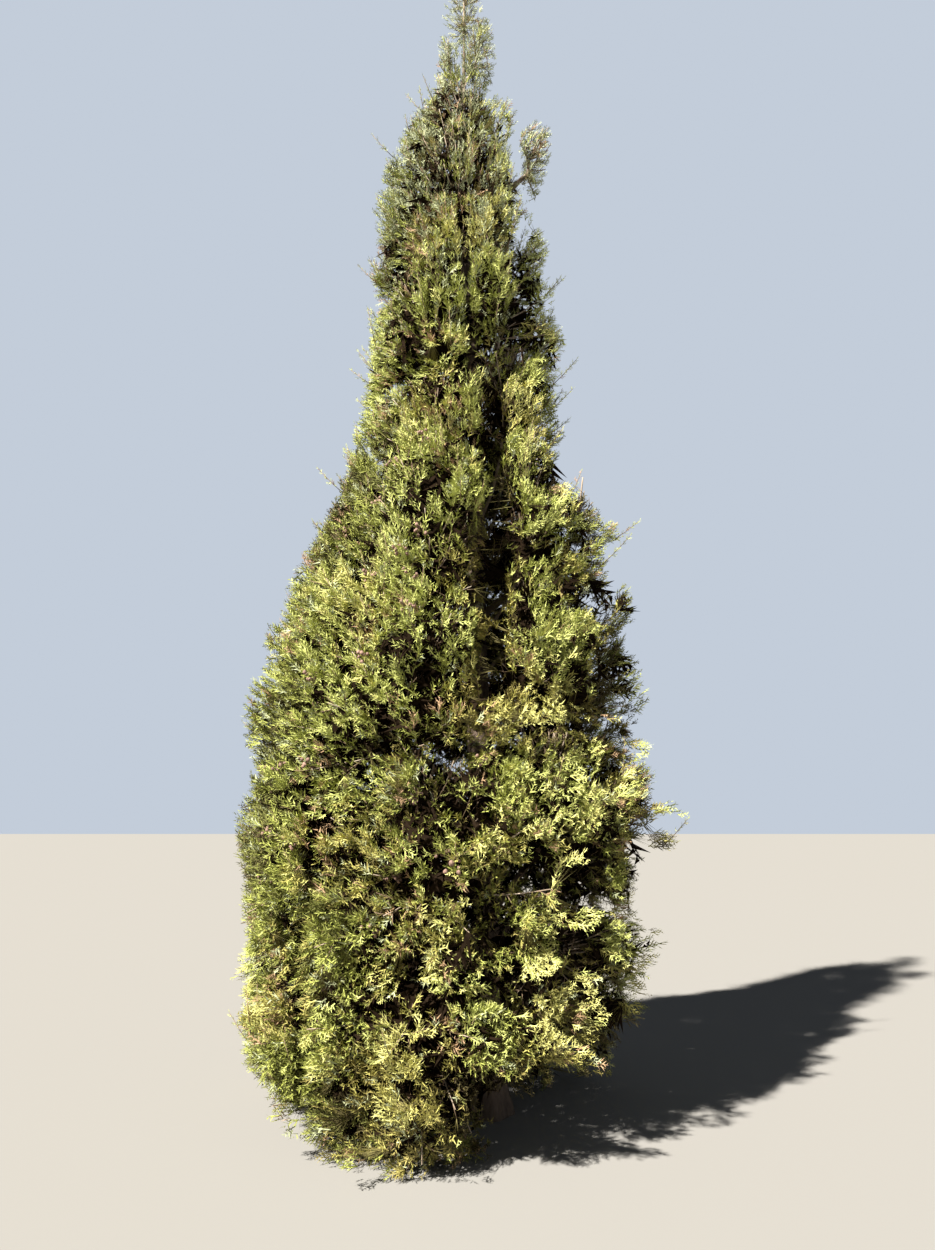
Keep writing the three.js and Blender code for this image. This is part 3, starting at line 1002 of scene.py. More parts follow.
@dataclass
class Crown:
    """All the plumes, and the rule that shares the crown's space out among them."""

    trunk: Trunk
    spray_skin: float = 1.24
    entry_depth: float = 1.65
    ground_clearance: float = 0.014
    space_gap: float = 0.05
    egg_taper: float = 0.28
    egg_slimmest: float = 0.3
    egg_fullness: float = 2.5
    limb_gap: float = 0.0003
    stem_start: float = 0.030
    knee_depth: float = 0.3
    stem_top: float = 0.9
    share_step: float = 0.02
    lift_azimuth: float = -35.0
    trims: tuple[float, ...] = (0.0, 0.12, 0.12, 0.22, 0.22, 0.07)
    trim_heights: tuple[float, ...] = (0.1, 0.5, 2.6, 3.6, 4.3, 5.2)
    merging: float = 1.0
    merging_sharpness: float = 4.0
    tufts: Gaps = Gaps(depth=0.17, size=0.15, levels=(0.8, 0.5), salt=9.9)
    pits: Gaps = Gaps(depth=0.23, size=0.12, levels=(0.56, 0.68), salt=2.6)
    furrows: Gaps = Gaps(depth=0.22, size=0.21, levels=(0.48, 0.78), salt=5.3, stretch=(1.0, 1.0, 0.38))
    notches: Gaps = Gaps(depth=0.16, size=0.2, levels=(0.35, 0.7), salt=6.8)
    notch_shares: Span = (0.1, -0.75)
    notch_heights: Span = (0.2, 0.8)
    raggedness: float = 0.65
    ragged_azimuth: float = -12.0
    open_raggedness: float = 0.2
    cleft_depth: float = 0.8
    cleft_lump: float = 0.22
    cleft_place: float = -0.07
    cleft_slope: float = 0.095
    cleft_bend: float = 0.035
    cleft_bending: float = 3.1
    cleft_width: float = 0.095
    cleft_foot: float = 1.8
    cleft_start: Span = (1.5, 2.1)
    cleft_end: Span = (4.4, 3.8)
    stride: float = 0.012
    points_at_once: int = 120_000
    plumes: list[Plume] = field(default_factory=list)

    def __post_init__(self) -> None:
        """Places the plumes, then draws their limbs, which depend on every neighbour."""
        for tier in TIERS:
            for index in range(tier.count):
                self._add_from_tier(tier, index)
        for tuft in TUFTS:
            self._add(tuft, tuft.name, math.radians(tuft.azimuth), tuft.reach, tuft.middle, tuft.tall)
        self._tabulate()
        for index, plume in enumerate(self.plumes):
            self._draw_limbs(index, plume)

    def _add_from_tier(self, tier: Tier, index: int) -> None:
        """Adds one plume of a tier.

        Args:
            tier: The tier.
            index: Which of its plumes.
        """
        azimuth = math.radians(tier.turn + 360 * index / tier.count)
        reach = tier.reach * (1 - tier.left * math.cos(azimuth))
        clear = max(0.0, math.cos(azimuth - math.radians(self.lift_azimuth)))
        lift = tier.lift / 2 * clear**2
        stagger = tier.stagger / 2 * (1 if index % 2 else -1)
        name = f"{tier.name}_{index + 1}"
        self._add(tier, name, azimuth, reach, tier.middle + lift + stagger, tier.tall - lift)

    def _add(self, sizes: Mass, name: str, azimuth: float, reach: float, height: float, tall: float) -> None:
        """Adds a plume.

        Args:
            sizes: The tier or tuft that it belongs to.
            name: Its name.
            azimuth: Its direction from the trunk.
            reach: How far it reaches from the trunk's axis.
            height: Height of its middle.
            tall: Its half height.
        """
        out = np.array([math.cos(azimuth), math.sin(azimuth), 0.0])
        middle = self.trunk.axis(height) + (reach - self.spray_skin * sizes.thick) * out
        hollow = max(sizes.hollow, reach - self.entry_depth * sizes.thick)
        self.plumes.append(Plume(sizes, name, len(self.plumes) + 1, azimuth, middle, tall, hollow))

    def _tabulate(self) -> None:
        """Gathers the plumes' sizes in arrays."""
        self.middles = np.array([plume.middle for plume in self.plumes])
        self.ups = np.array([plume.up / plume.tall for plume in self.plumes])
        self.aways = np.array([plume.away / plume.sizes.thick for plume in self.plumes])
        self.acrosses = np.array([plume.across / plume.sizes.wide for plume in self.plumes])
        self.heights = (self.middles * self.ups).sum(1)
        self.hollows = np.array([plume.hollow for plume in self.plumes])
        self.dense = np.array([plume.sizes.dense for plume in self.plumes])
        self.fullness = np.array([plume.sizes.fullness for plume in self.plumes])
        self.spreads = np.array([plume.sizes.spread for plume in self.plumes])

    @property
    def nodes(self) -> list[str]:
        """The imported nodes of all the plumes."""
        return [plume.node for plume in self.plumes]

    def measures(self, points: Array) -> Array:
        """How far out points lie in each plume's egg.

        Args:
            points: The places.

        Returns:
            Points by plumes: 0 in the middle of the egg and 1 on its skin.
        """
        along = points @ self.ups.T - self.heights
        away = points @ self.aways.T - (self.middles * self.aways).sum(1)
        across = points @ self.acrosses.T - (self.middles * self.acrosses).sum(1)
        slim = np.maximum(self.egg_slimmest, 1 - self.egg_taper * along)
        power = self.egg_fullness
        total = np.abs(along) ** power + np.abs(away / slim) ** power + np.abs(across / slim) ** power
        return total ** (1 / power)

    def depth(self, owners: Array, points: Array) -> tuple[Array, Array, Array, Array]:
        """Where points lie in their owners' spaces.

        Args:
            owners: Number of the plume that each point belongs to.
            points: The places.

        Returns:
            The owner's measure, how much less it is than any neighbour's, how far the neighbours reach
            beside it, and whether the point is off the ground and clear of the space round the trunk.
        """
        own, margin, shared, clear = (np.empty(len(points)) for _ in range(4))
        for start in range(0, len(points), self.points_at_once):
            part = slice(start, start + self.points_at_once)
            table = self.measures(points[part])
            rows = np.arange(len(table))
            own[part] = table[rows, owners[part]]
            crowd = np.exp(-self.merging_sharpness * table).sum(1)
            shared[part] = own[part] + np.log(crowd) / self.merging_sharpness
            table[rows, owners[part]] = np.inf
            margin[part] = table.min(1) - own[part]
            home = self.trunk.axis(points[part, 2])
            off_axis = np.linalg.norm(points[part, :2] - home[:, :2], axis=1)
            off_ground = points[part, 2] > self.ground_clearance
            clear[part] = off_ground & (off_axis > self.hollows[owners[part]])
        return own, margin, shared, clear > 0

    def trim(self, places: Array) -> Array:
        """How much closer than its plumes' eggs the crown is at each place's height."""
        return np.interp(places[:, 2], self.trim_heights, self.trims)

    def skins(self, owners: Array, places: Array, shared: Array) -> Array:
        """The measure at which the foliage ends near each place.

        Args:
            owners: Number of the plume that each place is in.
            places: The places.
            shared: How far the neighbours reach beside each place.

        Returns:
            The measures: tufts, pits, upright furrows, the cleft and each plume's torn lower edge shape
            them, and they are larger beside a neighbour, where two plumes run together.
        """
        dense = self.dense[owners]
        merged = self.merging * shared * dense
        hollow = self._torn(owners, places) + self.cleft_depth * self._cleft(places)
        hollow += np.where(dense, self.trim(places), -self.spreads[owners])
        hollow += sum(nip.at(places) * (dense | nip.tufts_too) for nip in NIPS)
        hollow += sum(patch.at(places) for patch in DRAWN_IN)
        return self.spray_skin * (1 + merged - hollow)

    def _torn(self, owners: Array, places: Array) -> Array:
        """How much the gaps between tufts, the pits, furrows and torn lower edges take off the skin.

        Args:
            owners: Number of the plume that each place is in.
            places: The places.

        Returns:
            The share at each place, larger on the ragged side of the crown.
        """
        dense = self.dense[owners]
        height = (places * self.ups[owners]).sum(1) - self.heights[owners]
        edge = dense * smooth(*self.notch_shares, height) * smooth(*self.notch_heights, places[:, 2])
        torn = self.tufts.at(places) + self.furrows.at(places) + self.pits.at(places)
        torn += edge * self.notches.at(places)
        off = np.arctan2(places[:, 1], places[:, 0]) - math.radians(self.ragged_azimuth)
        ragged = 1 + self.raggedness * np.cos(off)
        return torn * ragged * np.where(dense, 1, self.open_raggedness)

    def _cleft(self, places: Array) -> Array:
        """How far each place is in the dark cleft that runs up the front of the crown.

        Args:
            places: The places.

        Returns:
            Shares from 0 to 1.
        """
        heights = places[:, 2]
        bend = self.cleft_bend * np.sin(self.cleft_bending * heights)
        bend += self.cleft_slope * (heights - self.cleft_foot)
        beside = (places[:, 0] - self.cleft_place - bend) / self.cleft_width
        span = smooth(*self.cleft_start, heights) * smooth(*self.cleft_end, heights)
        front = places[:, 1] < 0
        return np.exp(-(beside**2)) * span * front * lumps(places, self.cleft_lump, salt=3.3)

    def holds(self, owners: Array, points: Array, share: float = 1.0) -> Array:
        """Whether points are in the spaces that their owners keep to, within a share of the skin."""
        own, margin, shared, clear = self.depth(owners, points)
        return (own < share * self.skins(owners, points, shared)) & (margin > self.space_gap) & clear

    def reach(self, owners: Array, roots: Array, headings: Array, furthest: float, stride: float) -> Array:
        """How far rays stay in their owners' spaces.

        Args:
            owners: Number of the plume of each ray.
            roots: Where the rays start.
            headings: Their unit directions.
            furthest: Longest length that is looked at.
            stride: Step of the search.

        Returns:
            The lengths.
        """
        steps = np.arange(1, 2 + int(furthest / stride)) * stride
        places = roots[:, None] + steps[None, :, None] * headings[:, None]
        inside = self.holds(np.repeat(owners, len(steps)), places.reshape(-1, 3)).reshape(len(roots), -1)
        inside[:, -1] = False
        return steps[np.argmin(inside, axis=1)] - stride

    def _highest_own(self, index: int, plume: Plume) -> Array:
        """The top of a plume's stem, lower where a neighbour's space begins first.

        Args:
            index: The plume's number.
            plume: The plume.

        Returns:
            The place.
        """
        shares = np.arange(self.stem_top, 0, -self.share_step)
        places = plume.middle + shares[:, None] * plume.tall * plume.up
        _, margin, _, clear = self.depth(np.full(len(places), index), places)
        return places[np.argmax((margin > 2 * self.space_gap) & clear)]

    def _draw_limbs(self, index: int, plume: Plume) -> None:
        """Draws a plume's bough and stem, in the upright plane of its azimuth.

        Args:
            index: The plume's number.
            plume: The plume.
        """
        top = self._highest_own(index, plume)
        if plume.sizes.crowning:
            foot = self.trunk.axis(self.trunk.top) + self.limb_gap * UP
            plume.stem = Curve(np.array([foot, top]))
            return
        entry_height = plume.middle[2] - plume.sizes.fall * plume.tall
        entry = self.trunk.axis(entry_height) + plume.hollow * plume.out
        root = self.trunk.axis(entry_height - plume.sizes.drop)
        knee = plume.middle - self.knee_depth * plume.sizes.fall * plume.tall * plume.up
        if not plume.sizes.bough:
            plume.stem = Curve(np.array([root, entry, knee, top]))
            return
        slope = unit(entry - root)
        start = entry + self.limb_gap * slope
        plume.bough_line = np.array([root, entry])
        plume.stem = Curve(np.array([start, start + self.stem_start * slope, knee, top]))


# What grows in a plume


@dataclass
class Shoots:
    """Branches, twigs or sprays: lines that leave their roots along headings and curl."""

    owners: Array
    roots: Array
    headings: Array
    lengths: Array
    curls: Array

    def __len__(self) -> int:
        """How many there are."""
        return len(self.roots)

    def columns(self) -> tuple[Array, ...]:
        """Its arrays, in the order of its fields."""
        return self.owners, self.roots, self.headings, self.lengths, self.curls

    def only(self, keep: Array) -> "Shoots":
        """The ones that keep picks."""
        return Shoots(*(column[keep] for column in self.columns()))

    def at(self, shares: Array | float) -> Array:
        """Places at a share of the way along each."""
        along = (shares * self.lengths)[:, None] * self.headings
        return self.roots + along + (shares**2 * self.lengths)[:, None] * self.curls

    @property
    def tips(self) -> Array:
        """Where they end."""
        return self.at(1.0)

    def heading_at(self, shares: Array) -> Array:
        """Unit directions at a share of the way along each."""
        return unit(self.headings + 2 * shares[:, None] * self.curls)

    def paths(self, rings: int) -> Array:
        """Points along each, as shoots by rings by 3."""
        return np.stack([self.at(share) for share in np.linspace(0, 1, rings)], 1)


def joined(parts: list[Shoots]) -> Shoots:
    """Several lots of shoots as one."""
    return Shoots(*(np.concatenate(lots) for lots in zip(*(part.columns() for part in parts))))


@dataclass
class Growth:
    """The rule by which branches, twigs and sprays fill the plumes."""

    crown: Crown
    branch_tries: int = 3
    branch_places: Span = (0.06, 0.97)
    bare_foot: float = 0.3
    branch_openings: Span = (128.0, 14.0)
    branch_outward: float = 125.0
    branch_shortest: float = 0.10
    branch_share: float = 0.93
    branch_curl: float = 0.16
    jitter: float = 0.7
    opening_spread: Span = (0.7, 1.3)
    tip_opening: float = 0.15
    fine_stride: float = 0.015
    twig_gap: float = 0.034
    twig_from: float = 0.40
    twig_opening: float = 46.0
    twig_longest: float = 0.29
    twig_tapering: Span = (1.05, 0.6)
    twig_share: float = 0.85
    twig_shortest: float = 0.04
    twig_curl: float = 0.12
    spray_gap: float = 0.034
    spray_from: float = 0.1
    spray_opening: float = 38.0
    spray_longest: float = 0.10
    spray_spread: Span = (0.72, 1.0)
    spray_shortest: float = 0.04
    spray_depth: float = 0.55
    spray_curl: float = 0.14
    border: float = 0.015
    likely: Span = (0.3, 1.4)
    node_places: Span = (0.15, 1.0)
    nodes: int = 6
    places_at_once: int = 2000
    rise: Span = (0.25, 1.05)
    rise_heights: Span = (0.6, 4.0)
    rise_gain: float = 0.55
    rise_drift: float = 0.9
    rise_lump: float = 0.5
    rise_level: float = -0.25
    rise_limits: Span = (-0.3, 1.1)
    skin_tries: int = 900_000
    skin_layer: Span = (0.81, 1.0)
    skin_spray: Span = (0.052, 0.09)
    skin_distances: Span = (0.02, 0.25)
    skin_step: float = 0.075
    skin_stretch: float = 1.35
    skin_bend: float = 0.35
    top_slimming: float = 0.3
    top_heights: Span = (3.8, 5.4)
    wisp_from: Span = (2.0, 3.6)
    wisp_shares: Span = (0.012, 0.1)
    wisp_outness: float = 0.95
    wisp_outward: Span = (0.2, 1.3)
    wisp_sway: float = 0.5
    wisp_curl: float = 0.1
    wisp: Span = (0.10, 0.24)
    wisp_gap: float = 0.016
    wisp_bare: float = 0.25
    wisp_spray: Span = (0.022, 0.045)
    wisp_spread: Span = (0.8, 1.3)
    inner_tries: int = 230_000
    inner_layer: Span = (0.1, 0.84)
    inner_shares: Span = (0.55, 1.0)
    inner_heights: Span = (2.3, 3.1)
    inner_spray: Span = (0.13, 0.22)
    inner_nearest: float = 0.005
    inner_skin: float = 0.9

    def curl_of(self, headings: Array, amount: float) -> Array:
        """The bend upwards of shoots with those headings."""
        rise = UP - headings * headings[:, 2:]
        return amount * rise

    def branches(self) -> Shoots:
        """The branches of every plume, by the rule of the part's source."""
        return joined([self._branches_of(index, plume) for index, plume in enumerate(self.crown.plumes)])

    def _branches_of(self, index: int, plume: Plume) -> Shoots:
        """The branches of one plume.

        Args:
            index: The plume's number.
            plume: The plume.

        Returns:
            The first ones that have room, as many as the plume bears.
        """
        number = np.arange(plume.sizes.branches * self.branch_tries)
        share, turn = ((chance(plume.seed, salt + 1) + number * EVEN_STEPS[salt]) % 1 for salt in (0, 1))
        low, high = self.branch_places
        low = low if plume.sizes.bough or plume.sizes.crowning else self.bare_foot
        along = between((low, high), share)
        roots = plume.stem.at(along)
        headings = self._branching(plume, plume.stem.heading(along), share, turn)
        owners = np.full(len(number), index)
        reach = self.crown.reach(owners, roots, headings, 2 * plume.tall, self.crown.stride)
        curls = self.curl_of(headings, self.branch_curl)
        made = Shoots(owners, roots, headings, self.branch_share * reach, curls)
        return made.only(np.flatnonzero(reach > self.branch_shortest)[: plume.sizes.branches])

    def _branching(self, plume: Plume, along: Array, share: Array, turn: Array) -> Array:
        """The headings of branches.

        Args:
            plume: The plume that they grow in.
            along: The stem's direction at each root.
            share: Their shares of the way up the stem.
            turn: Their shares of the way round it.

        Returns:
            Unit directions.
        """
        opening = np.radians(between(self.branch_openings, share))[:, None]
        around = np.radians(self.branch_outward) * (2 * turn - 1)[:, None]
        ahead = np.cross(plume.across, along)
        square = np.sin(around) * plume.across + np.cos(around) * ahead
        return unit(np.cos(opening) * along + np.sin(opening) * square)

    def side_shoots(
        self, parents: Shoots, gap: float, start: float, opening: float, salt: float
    ) -> tuple[Shoots, Array]:
        """Shoots that leave their parents by even steps along them and round them, and one at each tip.

        Args:
            parents: What they grow on.
            gap: Distance between one and the next.
            start: Share of the parent that stays bare.
            opening: Angle from the parent, in degrees.
            salt: Picks the scatter.

        Returns:
            The shoots, with no length yet, and each one's share of the way along its parent.
        """
        counts = 1 + np.maximum(1, (parents.lengths * (1 - start) / gap).astype(int))
        parent = np.repeat(np.arange(len(parents)), counts)
        rank = np.arange(len(parent)) - np.repeat(np.cumsum(counts) - counts, counts)
        total = counts[parent]
        number = np.arange(len(parent))
        jitter = self.jitter * (chance(number, salt) - 0.5)
        shares = np.clip(start + (1 - start) * (rank + 1 + jitter) / total, start, 1.0)
        last = rank == total - 1
        shares = np.where(last, 1.0, shares)
        bearers = parents.only(parent)
        along = bearers.heading_at(shares)
        side, normal = plane_of(along)
        turn = (rank * GOLDEN_TURN + 2 * np.pi * chance(parent, salt + 0.3))[:, None]
        angle = np.radians(opening) * between(self.opening_spread, chance(number, salt + 0.7))
        angle = np.where(last, self.tip_opening * angle, angle)[:, None]
        square = np.cos(turn) * side + np.sin(turn) * normal
        headings = unit(np.cos(angle) * along + np.sin(angle) * square)
        made = Shoots(bearers.owners, bearers.at(shares), headings, np.zeros(len(parent)), 0 * headings)
        return made, shares

    def _reach(self, shoots: Shoots, furthest: float) -> Array:
        """How far fine shoots can grow, up to the furthest."""
        return self.crown.reach(shoots.owners, shoots.roots, shoots.headings, furthest, self.fine_stride)

    def twigs(self, branches: Shoots) -> Shoots:
        """The twigs of branches.

        Args:
            branches: What they grow on.

        Returns:
            The ones that have room.
        """
        made, shares = self.side_shoots(branches, self.twig_gap, self.twig_from, self.twig_opening, salt=2.1)
        reach = self._reach(made, self.twig_longest)
        most = self.twig_longest * between(self.twig_tapering, shares)
        made.lengths = np.minimum(self.twig_share * reach, most)
        made.curls = self.curl_of(made.headings, self.twig_curl)
        return made.only(made.lengths > self.twig_shortest)

    def sprays(self, twigs: Shoots) -> Shoots:
        """The sprays of twigs.

        Args:
            twigs: What they grow on.

        Returns:
            The ones that have room and can be seen, since they end in the outer part of the crown.
        """
        made, _ = self.side_shoots(twigs, self.spray_gap, self.spray_from, self.spray_opening, salt=6.4)
        reach = self._reach(made, self.spray_longest)
        number = np.arange(len(made))
        most = self.spray_longest * between(self.spray_spread, chance(number, salt=7.7))
        made.lengths = np.minimum(reach, most)
        made.curls = self.curl_of(made.headings, self.spray_curl)
        own, _, shared, _ = self.crown.depth(made.owners, made.tips)
        outer = (own > self.spray_depth * self.crown.spray_skin) | ~self.crown.dense[made.owners]
        within = own < self.crown.skins(made.owners, made.tips, shared)
        return made.only((made.lengths > self.spray_shortest) & outer & within)

    def _layer(self, tries: int, inner: float, outer: float) -> tuple[Array, Array]:
        """Places spread evenly through a layer of the crown.

        Args:
            tries: How many places are spread through the crown's box.
            inner: Where the layer starts, as a share of the skin's measure.
            outer: Where it ends.

        Returns:
            The number of the plume that each place is in, and the places.
        """
        low, high = (np.array(corner) for corner in cad_box)
        least, most = self.likely
        owners, kept = [], []
        for start in range(0, tries, self.crown.points_at_once):
            number = np.arange(start, min(start + self.crown.points_at_once, tries))[:, None]
            places = low + (number * EVEN_STEPS_IN_SPACE % 1) * (high - low)
            measures = self.crown.measures(places)
            owner = measures.argmin(1)
            own = measures[np.arange(len(owner)), owner]
            deep = (own > least * inner) | ~self.crown.dense[owner]
            likely = np.flatnonzero((own < most * self.crown.spray_skin) & deep)
            places, owner = places[likely], owner[likely]
            own, margin, shared, clear = self.crown.depth(owner, places)
            skins = self.crown.skins(owner, places, shared)
            deep = (own > inner * skins) | ~self.crown.dense[owner]
            inside = (own < outer * skins) & deep & (margin > self.border) & clear
            owners.append(owner[inside])
            kept.append(places[inside])
        return np.concatenate(owners), np.concatenate(kept)

    def _nearest(self, owners: Array, places: Array, shoots: list[Shoots]) -> Array:
        """The nearest point of the same plume's shoots to each place.

        Args:
            owners: Number of the plume that each place is in.
            places: The places.
            shoots: The lots of shoots that are looked through.

        Returns:
            The points, one for each place.
        """
        shares = np.linspace(*self.node_places, self.nodes)
        nodes = np.concatenate([each.at(share) for each in shoots for share in shares])
        node_owners = np.concatenate([each.owners for each in shoots for _ in shares])
        nearest = np.full_like(places, np.inf)
        for index in range(len(self.crown.plumes)):
            mine = np.flatnonzero(owners == index)
            own_nodes = nodes[node_owners == index].astype(np.float32)
            if not len(own_nodes):
                continue
            squares = (own_nodes**2).sum(1)
            for start in range(0, len(mine), self.places_at_once):
                part = mine[start : start + self.places_at_once]
                gaps = squares - 2 * places[part].astype(np.float32) @ own_nodes.T
                nearest[part] = own_nodes[gaps.argmin(1)]
        return nearest

    def _outward(self, places: Array) -> Array:
        """Level directions away from the trunk."""
        return unit((places - self.crown.trunk.axis(places[:, 2])) * [1, 1, 0])

    def _lean(self, places: Array) -> Array:
        """The way that the foliage points: outwards, and more upright higher up.

        Args:
            places: Where.

        Returns:
            Unit directions, one for each place.
        """
        height = smooth(*self.rise_heights, places[:, 2])
        drift = lumps(places, self.rise_lump, salt=3.7)
        share = self.rise_gain * height + self.rise_drift * drift + self.rise_level
        rise = between(self.rise, np.clip(share, *self.rise_limits))
        return unit(self._outward(places) + rise[:, None] * UP)

    def skin_sprays(self, twigs: Shoots, branches: Shoots) -> tuple[Shoots, Shoots]:
        """Sprays that close the crown's outermost layer, each on a twig of its own plume.

        Args:
            twigs: The twigs that they grow on.
            branches: The branches, which bear them too.

        Returns:
            The sprays, and the twiglets that carry the ones that stand further off.
        """
        owners, places = self._layer(self.skin_tries, *self.skin_layer)
        kept = chance(np.arange(len(places)), salt=1.9) < self.crown.fullness[owners]
        owners, places = owners[kept], places[kept]
        lean = self._lean(places)
        roots = self._nearest(owners, places - self.skin_step * lean, [twigs, branches])
        away = places - roots
        distance = np.linalg.norm(away, axis=1)
        nearest, farthest = self.skin_distances
        near = (distance < farthest) & (distance > nearest)
        owners, places, roots, away, lean, distance = (
            each[near] for each in (owners, places, roots, away, lean, distance)
        )
        most = between(self.skin_spray, chance(np.arange(len(places)), salt=6.1))
        most *= 1 - self.top_slimming * smooth(*self.top_heights, places[:, 2])
        far = distance > self.skin_stretch * most
        ahead = np.where(far[:, None], unit(unit(away) + lean), unit(away))
        lengths = np.where(far, most, np.maximum(distance, self.skin_spray[0]))
        starts = np.where(far[:, None], places - lengths[:, None] * ahead, roots)
        curls = self.skin_bend * (lean - ahead)
        sprays = Shoots(owners, starts, unit(ahead - curls), lengths, curls)
        stretch = starts - roots
        length = np.linalg.norm(stretch, axis=1)
        twiglets = Shoots(owners, roots, unit(stretch + TINY), length, 0 * stretch)
        sound = starts[:, 2] > self.crown.ground_clearance
        return sprays.only(sound), twiglets.only(sound & far)

    def _wisp_shoots(self, sprays: Shoots) -> Shoots:
        """Thin shoots that stand out of the skin, more of them higher up.

        Args:
            sprays: The sprays of the skin, some of which they grow beside.

        Returns:
            The shoots.
        """
        number = np.arange(len(sprays))
        share = between(self.wisp_shares, smooth(*self.wisp_from, sprays.roots[:, 2]))
        own, _, shared, _ = self.crown.depth(sprays.owners, sprays.tips)
        outside = own > self.wisp_outness * self.crown.skins(sprays.owners, sprays.tips, shared)
        grown = sprays.only((chance(number, salt=9.4) < share) & outside & self.crown.dense[sprays.owners])
        number = np.arange(len(grown))
        sway = self.wisp_sway * np.stack([chance(number, salt) - 0.5 for salt in (1.7, 3.4, 6.8)], 1)
        outward = between(self.wisp_outward, chance(number, salt=4.6))[:, None] * self._outward(grown.roots)
        heading = unit(outward + UP + sway)
        lengths = between(self.wisp, chance(number, salt=8.6) ** 2)
        curls = self.curl_of(heading, self.wisp_curl)
        shoots = Shoots(grown.owners, grown.roots, heading, lengths, curls)
        low, high = (np.array(corner) for corner in cad_box)
        return shoots.only(((shoots.tips > low) & (shoots.tips < high)).all(1))

    def wisps(self, sprays: Shoots) -> tuple[Shoots, Shoots]:
        """The wisps that make the crown's edge ragged.

        Args:
            sprays: The sprays of the skin.

        Returns:
            The shoots of the wisps and their sprays.
        """
        shoots = self._wisp_shoots(sprays)
        borne, shares = self.side_shoots(shoots, self.wisp_gap, self.wisp_bare, self.spray_opening, salt=5.7)
        size = between(self.wisp_spray, 1 - shares)
        borne.lengths = size * between(self.wisp_spread, chance(np.arange(len(borne)), salt=2.9))
        borne.curls = self.curl_of(borne.headings, self.spray_curl)
        return shoots, borne

    def inner_sprays(self, twigs: Shoots, branches: Shoots) -> Shoots:
        """The dead sprays that fill the shade inside the crown.

        Args:
            twigs: The twigs that they grow on.
            branches: The branches, which bear them too.

        Returns:
            The sprays.
        """
        owners, places = self._layer(self.inner_tries, *self.inner_layer)
        share = between(self.inner_shares, smooth(*self.inner_heights, places[:, 2]))
        kept = self.crown.dense[owners] & (chance(np.arange(len(places)), salt=6.6) < share)
        owners, places = owners[kept], places[kept]
        roots = self._nearest(owners, places, [twigs, branches])
        away = places - roots
        distance = np.linalg.norm(away, axis=1)
        lengths = between(self.inner_spray, chance(np.arange(len(places)), salt=2.7))
        curls = self.curl_of(unit(away), -self.spray_curl)
        made = Shoots(owners, roots, unit(away + TINY), lengths, curls)
        near = (distance < 2 * self.inner_spray[1]) & (distance > self.inner_nearest)
        return made.only(near & self.crown.holds(owners, made.tips, self.inner_skin))


@dataclass(frozen=True)
class SprayPattern:
    """A feathery spray of scale-leaved branchlets, one unit long, in several drawings."""

    drawings: int = 10
    side_branchlets: int = 6
    side_places: Span = (0.10, 0.80)
    side_length: float = 0.56
    side_taper: float = 0.6
    side_spread: Span = (0.8, 1.15)
    side_opening: float = 42.0
    blade_width: float = 0.082
    fine_branchlets: int = 3
    fine_place: float = 0.42
    fine_length: float = 0.55
    fine_spread: Span = (0.85, 1.2)
    fine_opening: float = 40.0
    fine_width: float = 0.85
    swing: Span = (0.85, 1.15)
    roll: float = 50.0
    out_of_plane: float = 34.0

    @staticmethod
    def _prong(root: Array, heading: Array, length: float, width: float, roll: float) -> Array:
        """A fine branchlet.

        Args:
            root: Its foot.
            heading: Its unit direction.
            length: Its length.
            width: Its width at the foot.
            roll: Its turn about its own line.

        Returns:
            Its three corners: both sides of its foot and its tip.
        """
        side = unit(np.cross(UP, heading))
        side = turned(side[None], heading[None], np.array([roll]))[0]
        return np.array([root - 0.5 * width * side, root + 0.5 * width * side, root + length * heading])

    def draw(self, seed: int) -> tuple[Array, Array]:
        """One drawing of it.

        Args:
            seed: Number of the drawing.

        Returns:
            Corners and triangles.
        """
        random = np.random.default_rng(seed)
        ahead = np.array([1.0, 0.0, 0.0])
        prongs = [self._prong(np.zeros(3), ahead, 1.0, self.blade_width, 0.0)]
        for index in range(self.side_branchlets):
            share = index / (self.side_branchlets - 1)
            place = between(self.side_places, share)
            hand = 1 if (index + seed) % 2 else -1
            heading = self._swung(ahead, hand * self.side_opening, random)
            length = self.side_length * (1 - self.side_taper * share) * random.uniform(*self.side_spread)
            roll = math.radians(random.uniform(-self.roll, self.roll))
            prongs.append(self._prong(place * ahead, heading, length, self.blade_width, roll))
            if index < self.fine_branchlets:
                shoot = self._swung(heading, -hand * self.fine_opening, random)
                root = place * ahead + self.fine_place * length * heading
                size = self.fine_length * length * random.uniform(*self.fine_spread)
                prongs.append(self._prong(root, shoot, size, self.fine_width * self.blade_width, -roll))
        return np.concatenate(prongs), 3 * np.arange(len(prongs))[:, None] + [0, 1, 2]

    def _swung(self, heading: Array, turn: float, random: np.random.Generator) -> Array:
        """Turns a heading in the spray's plane, and a little out of it.

        Args:
            heading: A unit direction.
            turn: About how far, in degrees.
            random: What scatters it.

        Returns:
            The new unit direction.
        """
        turn = math.radians(turn * random.uniform(*self.swing))
        lift = math.radians(random.uniform(-self.out_of_plane, self.out_of_plane))
        flat = turned(heading[None], UP[None], np.array([turn]))[0]
        return unit(flat + math.sin(lift) * UP)


DEAD_SPRAY = SprayPattern(drawings=4, side_length=0.6, blade_width=0.13, fine_branchlets=0)


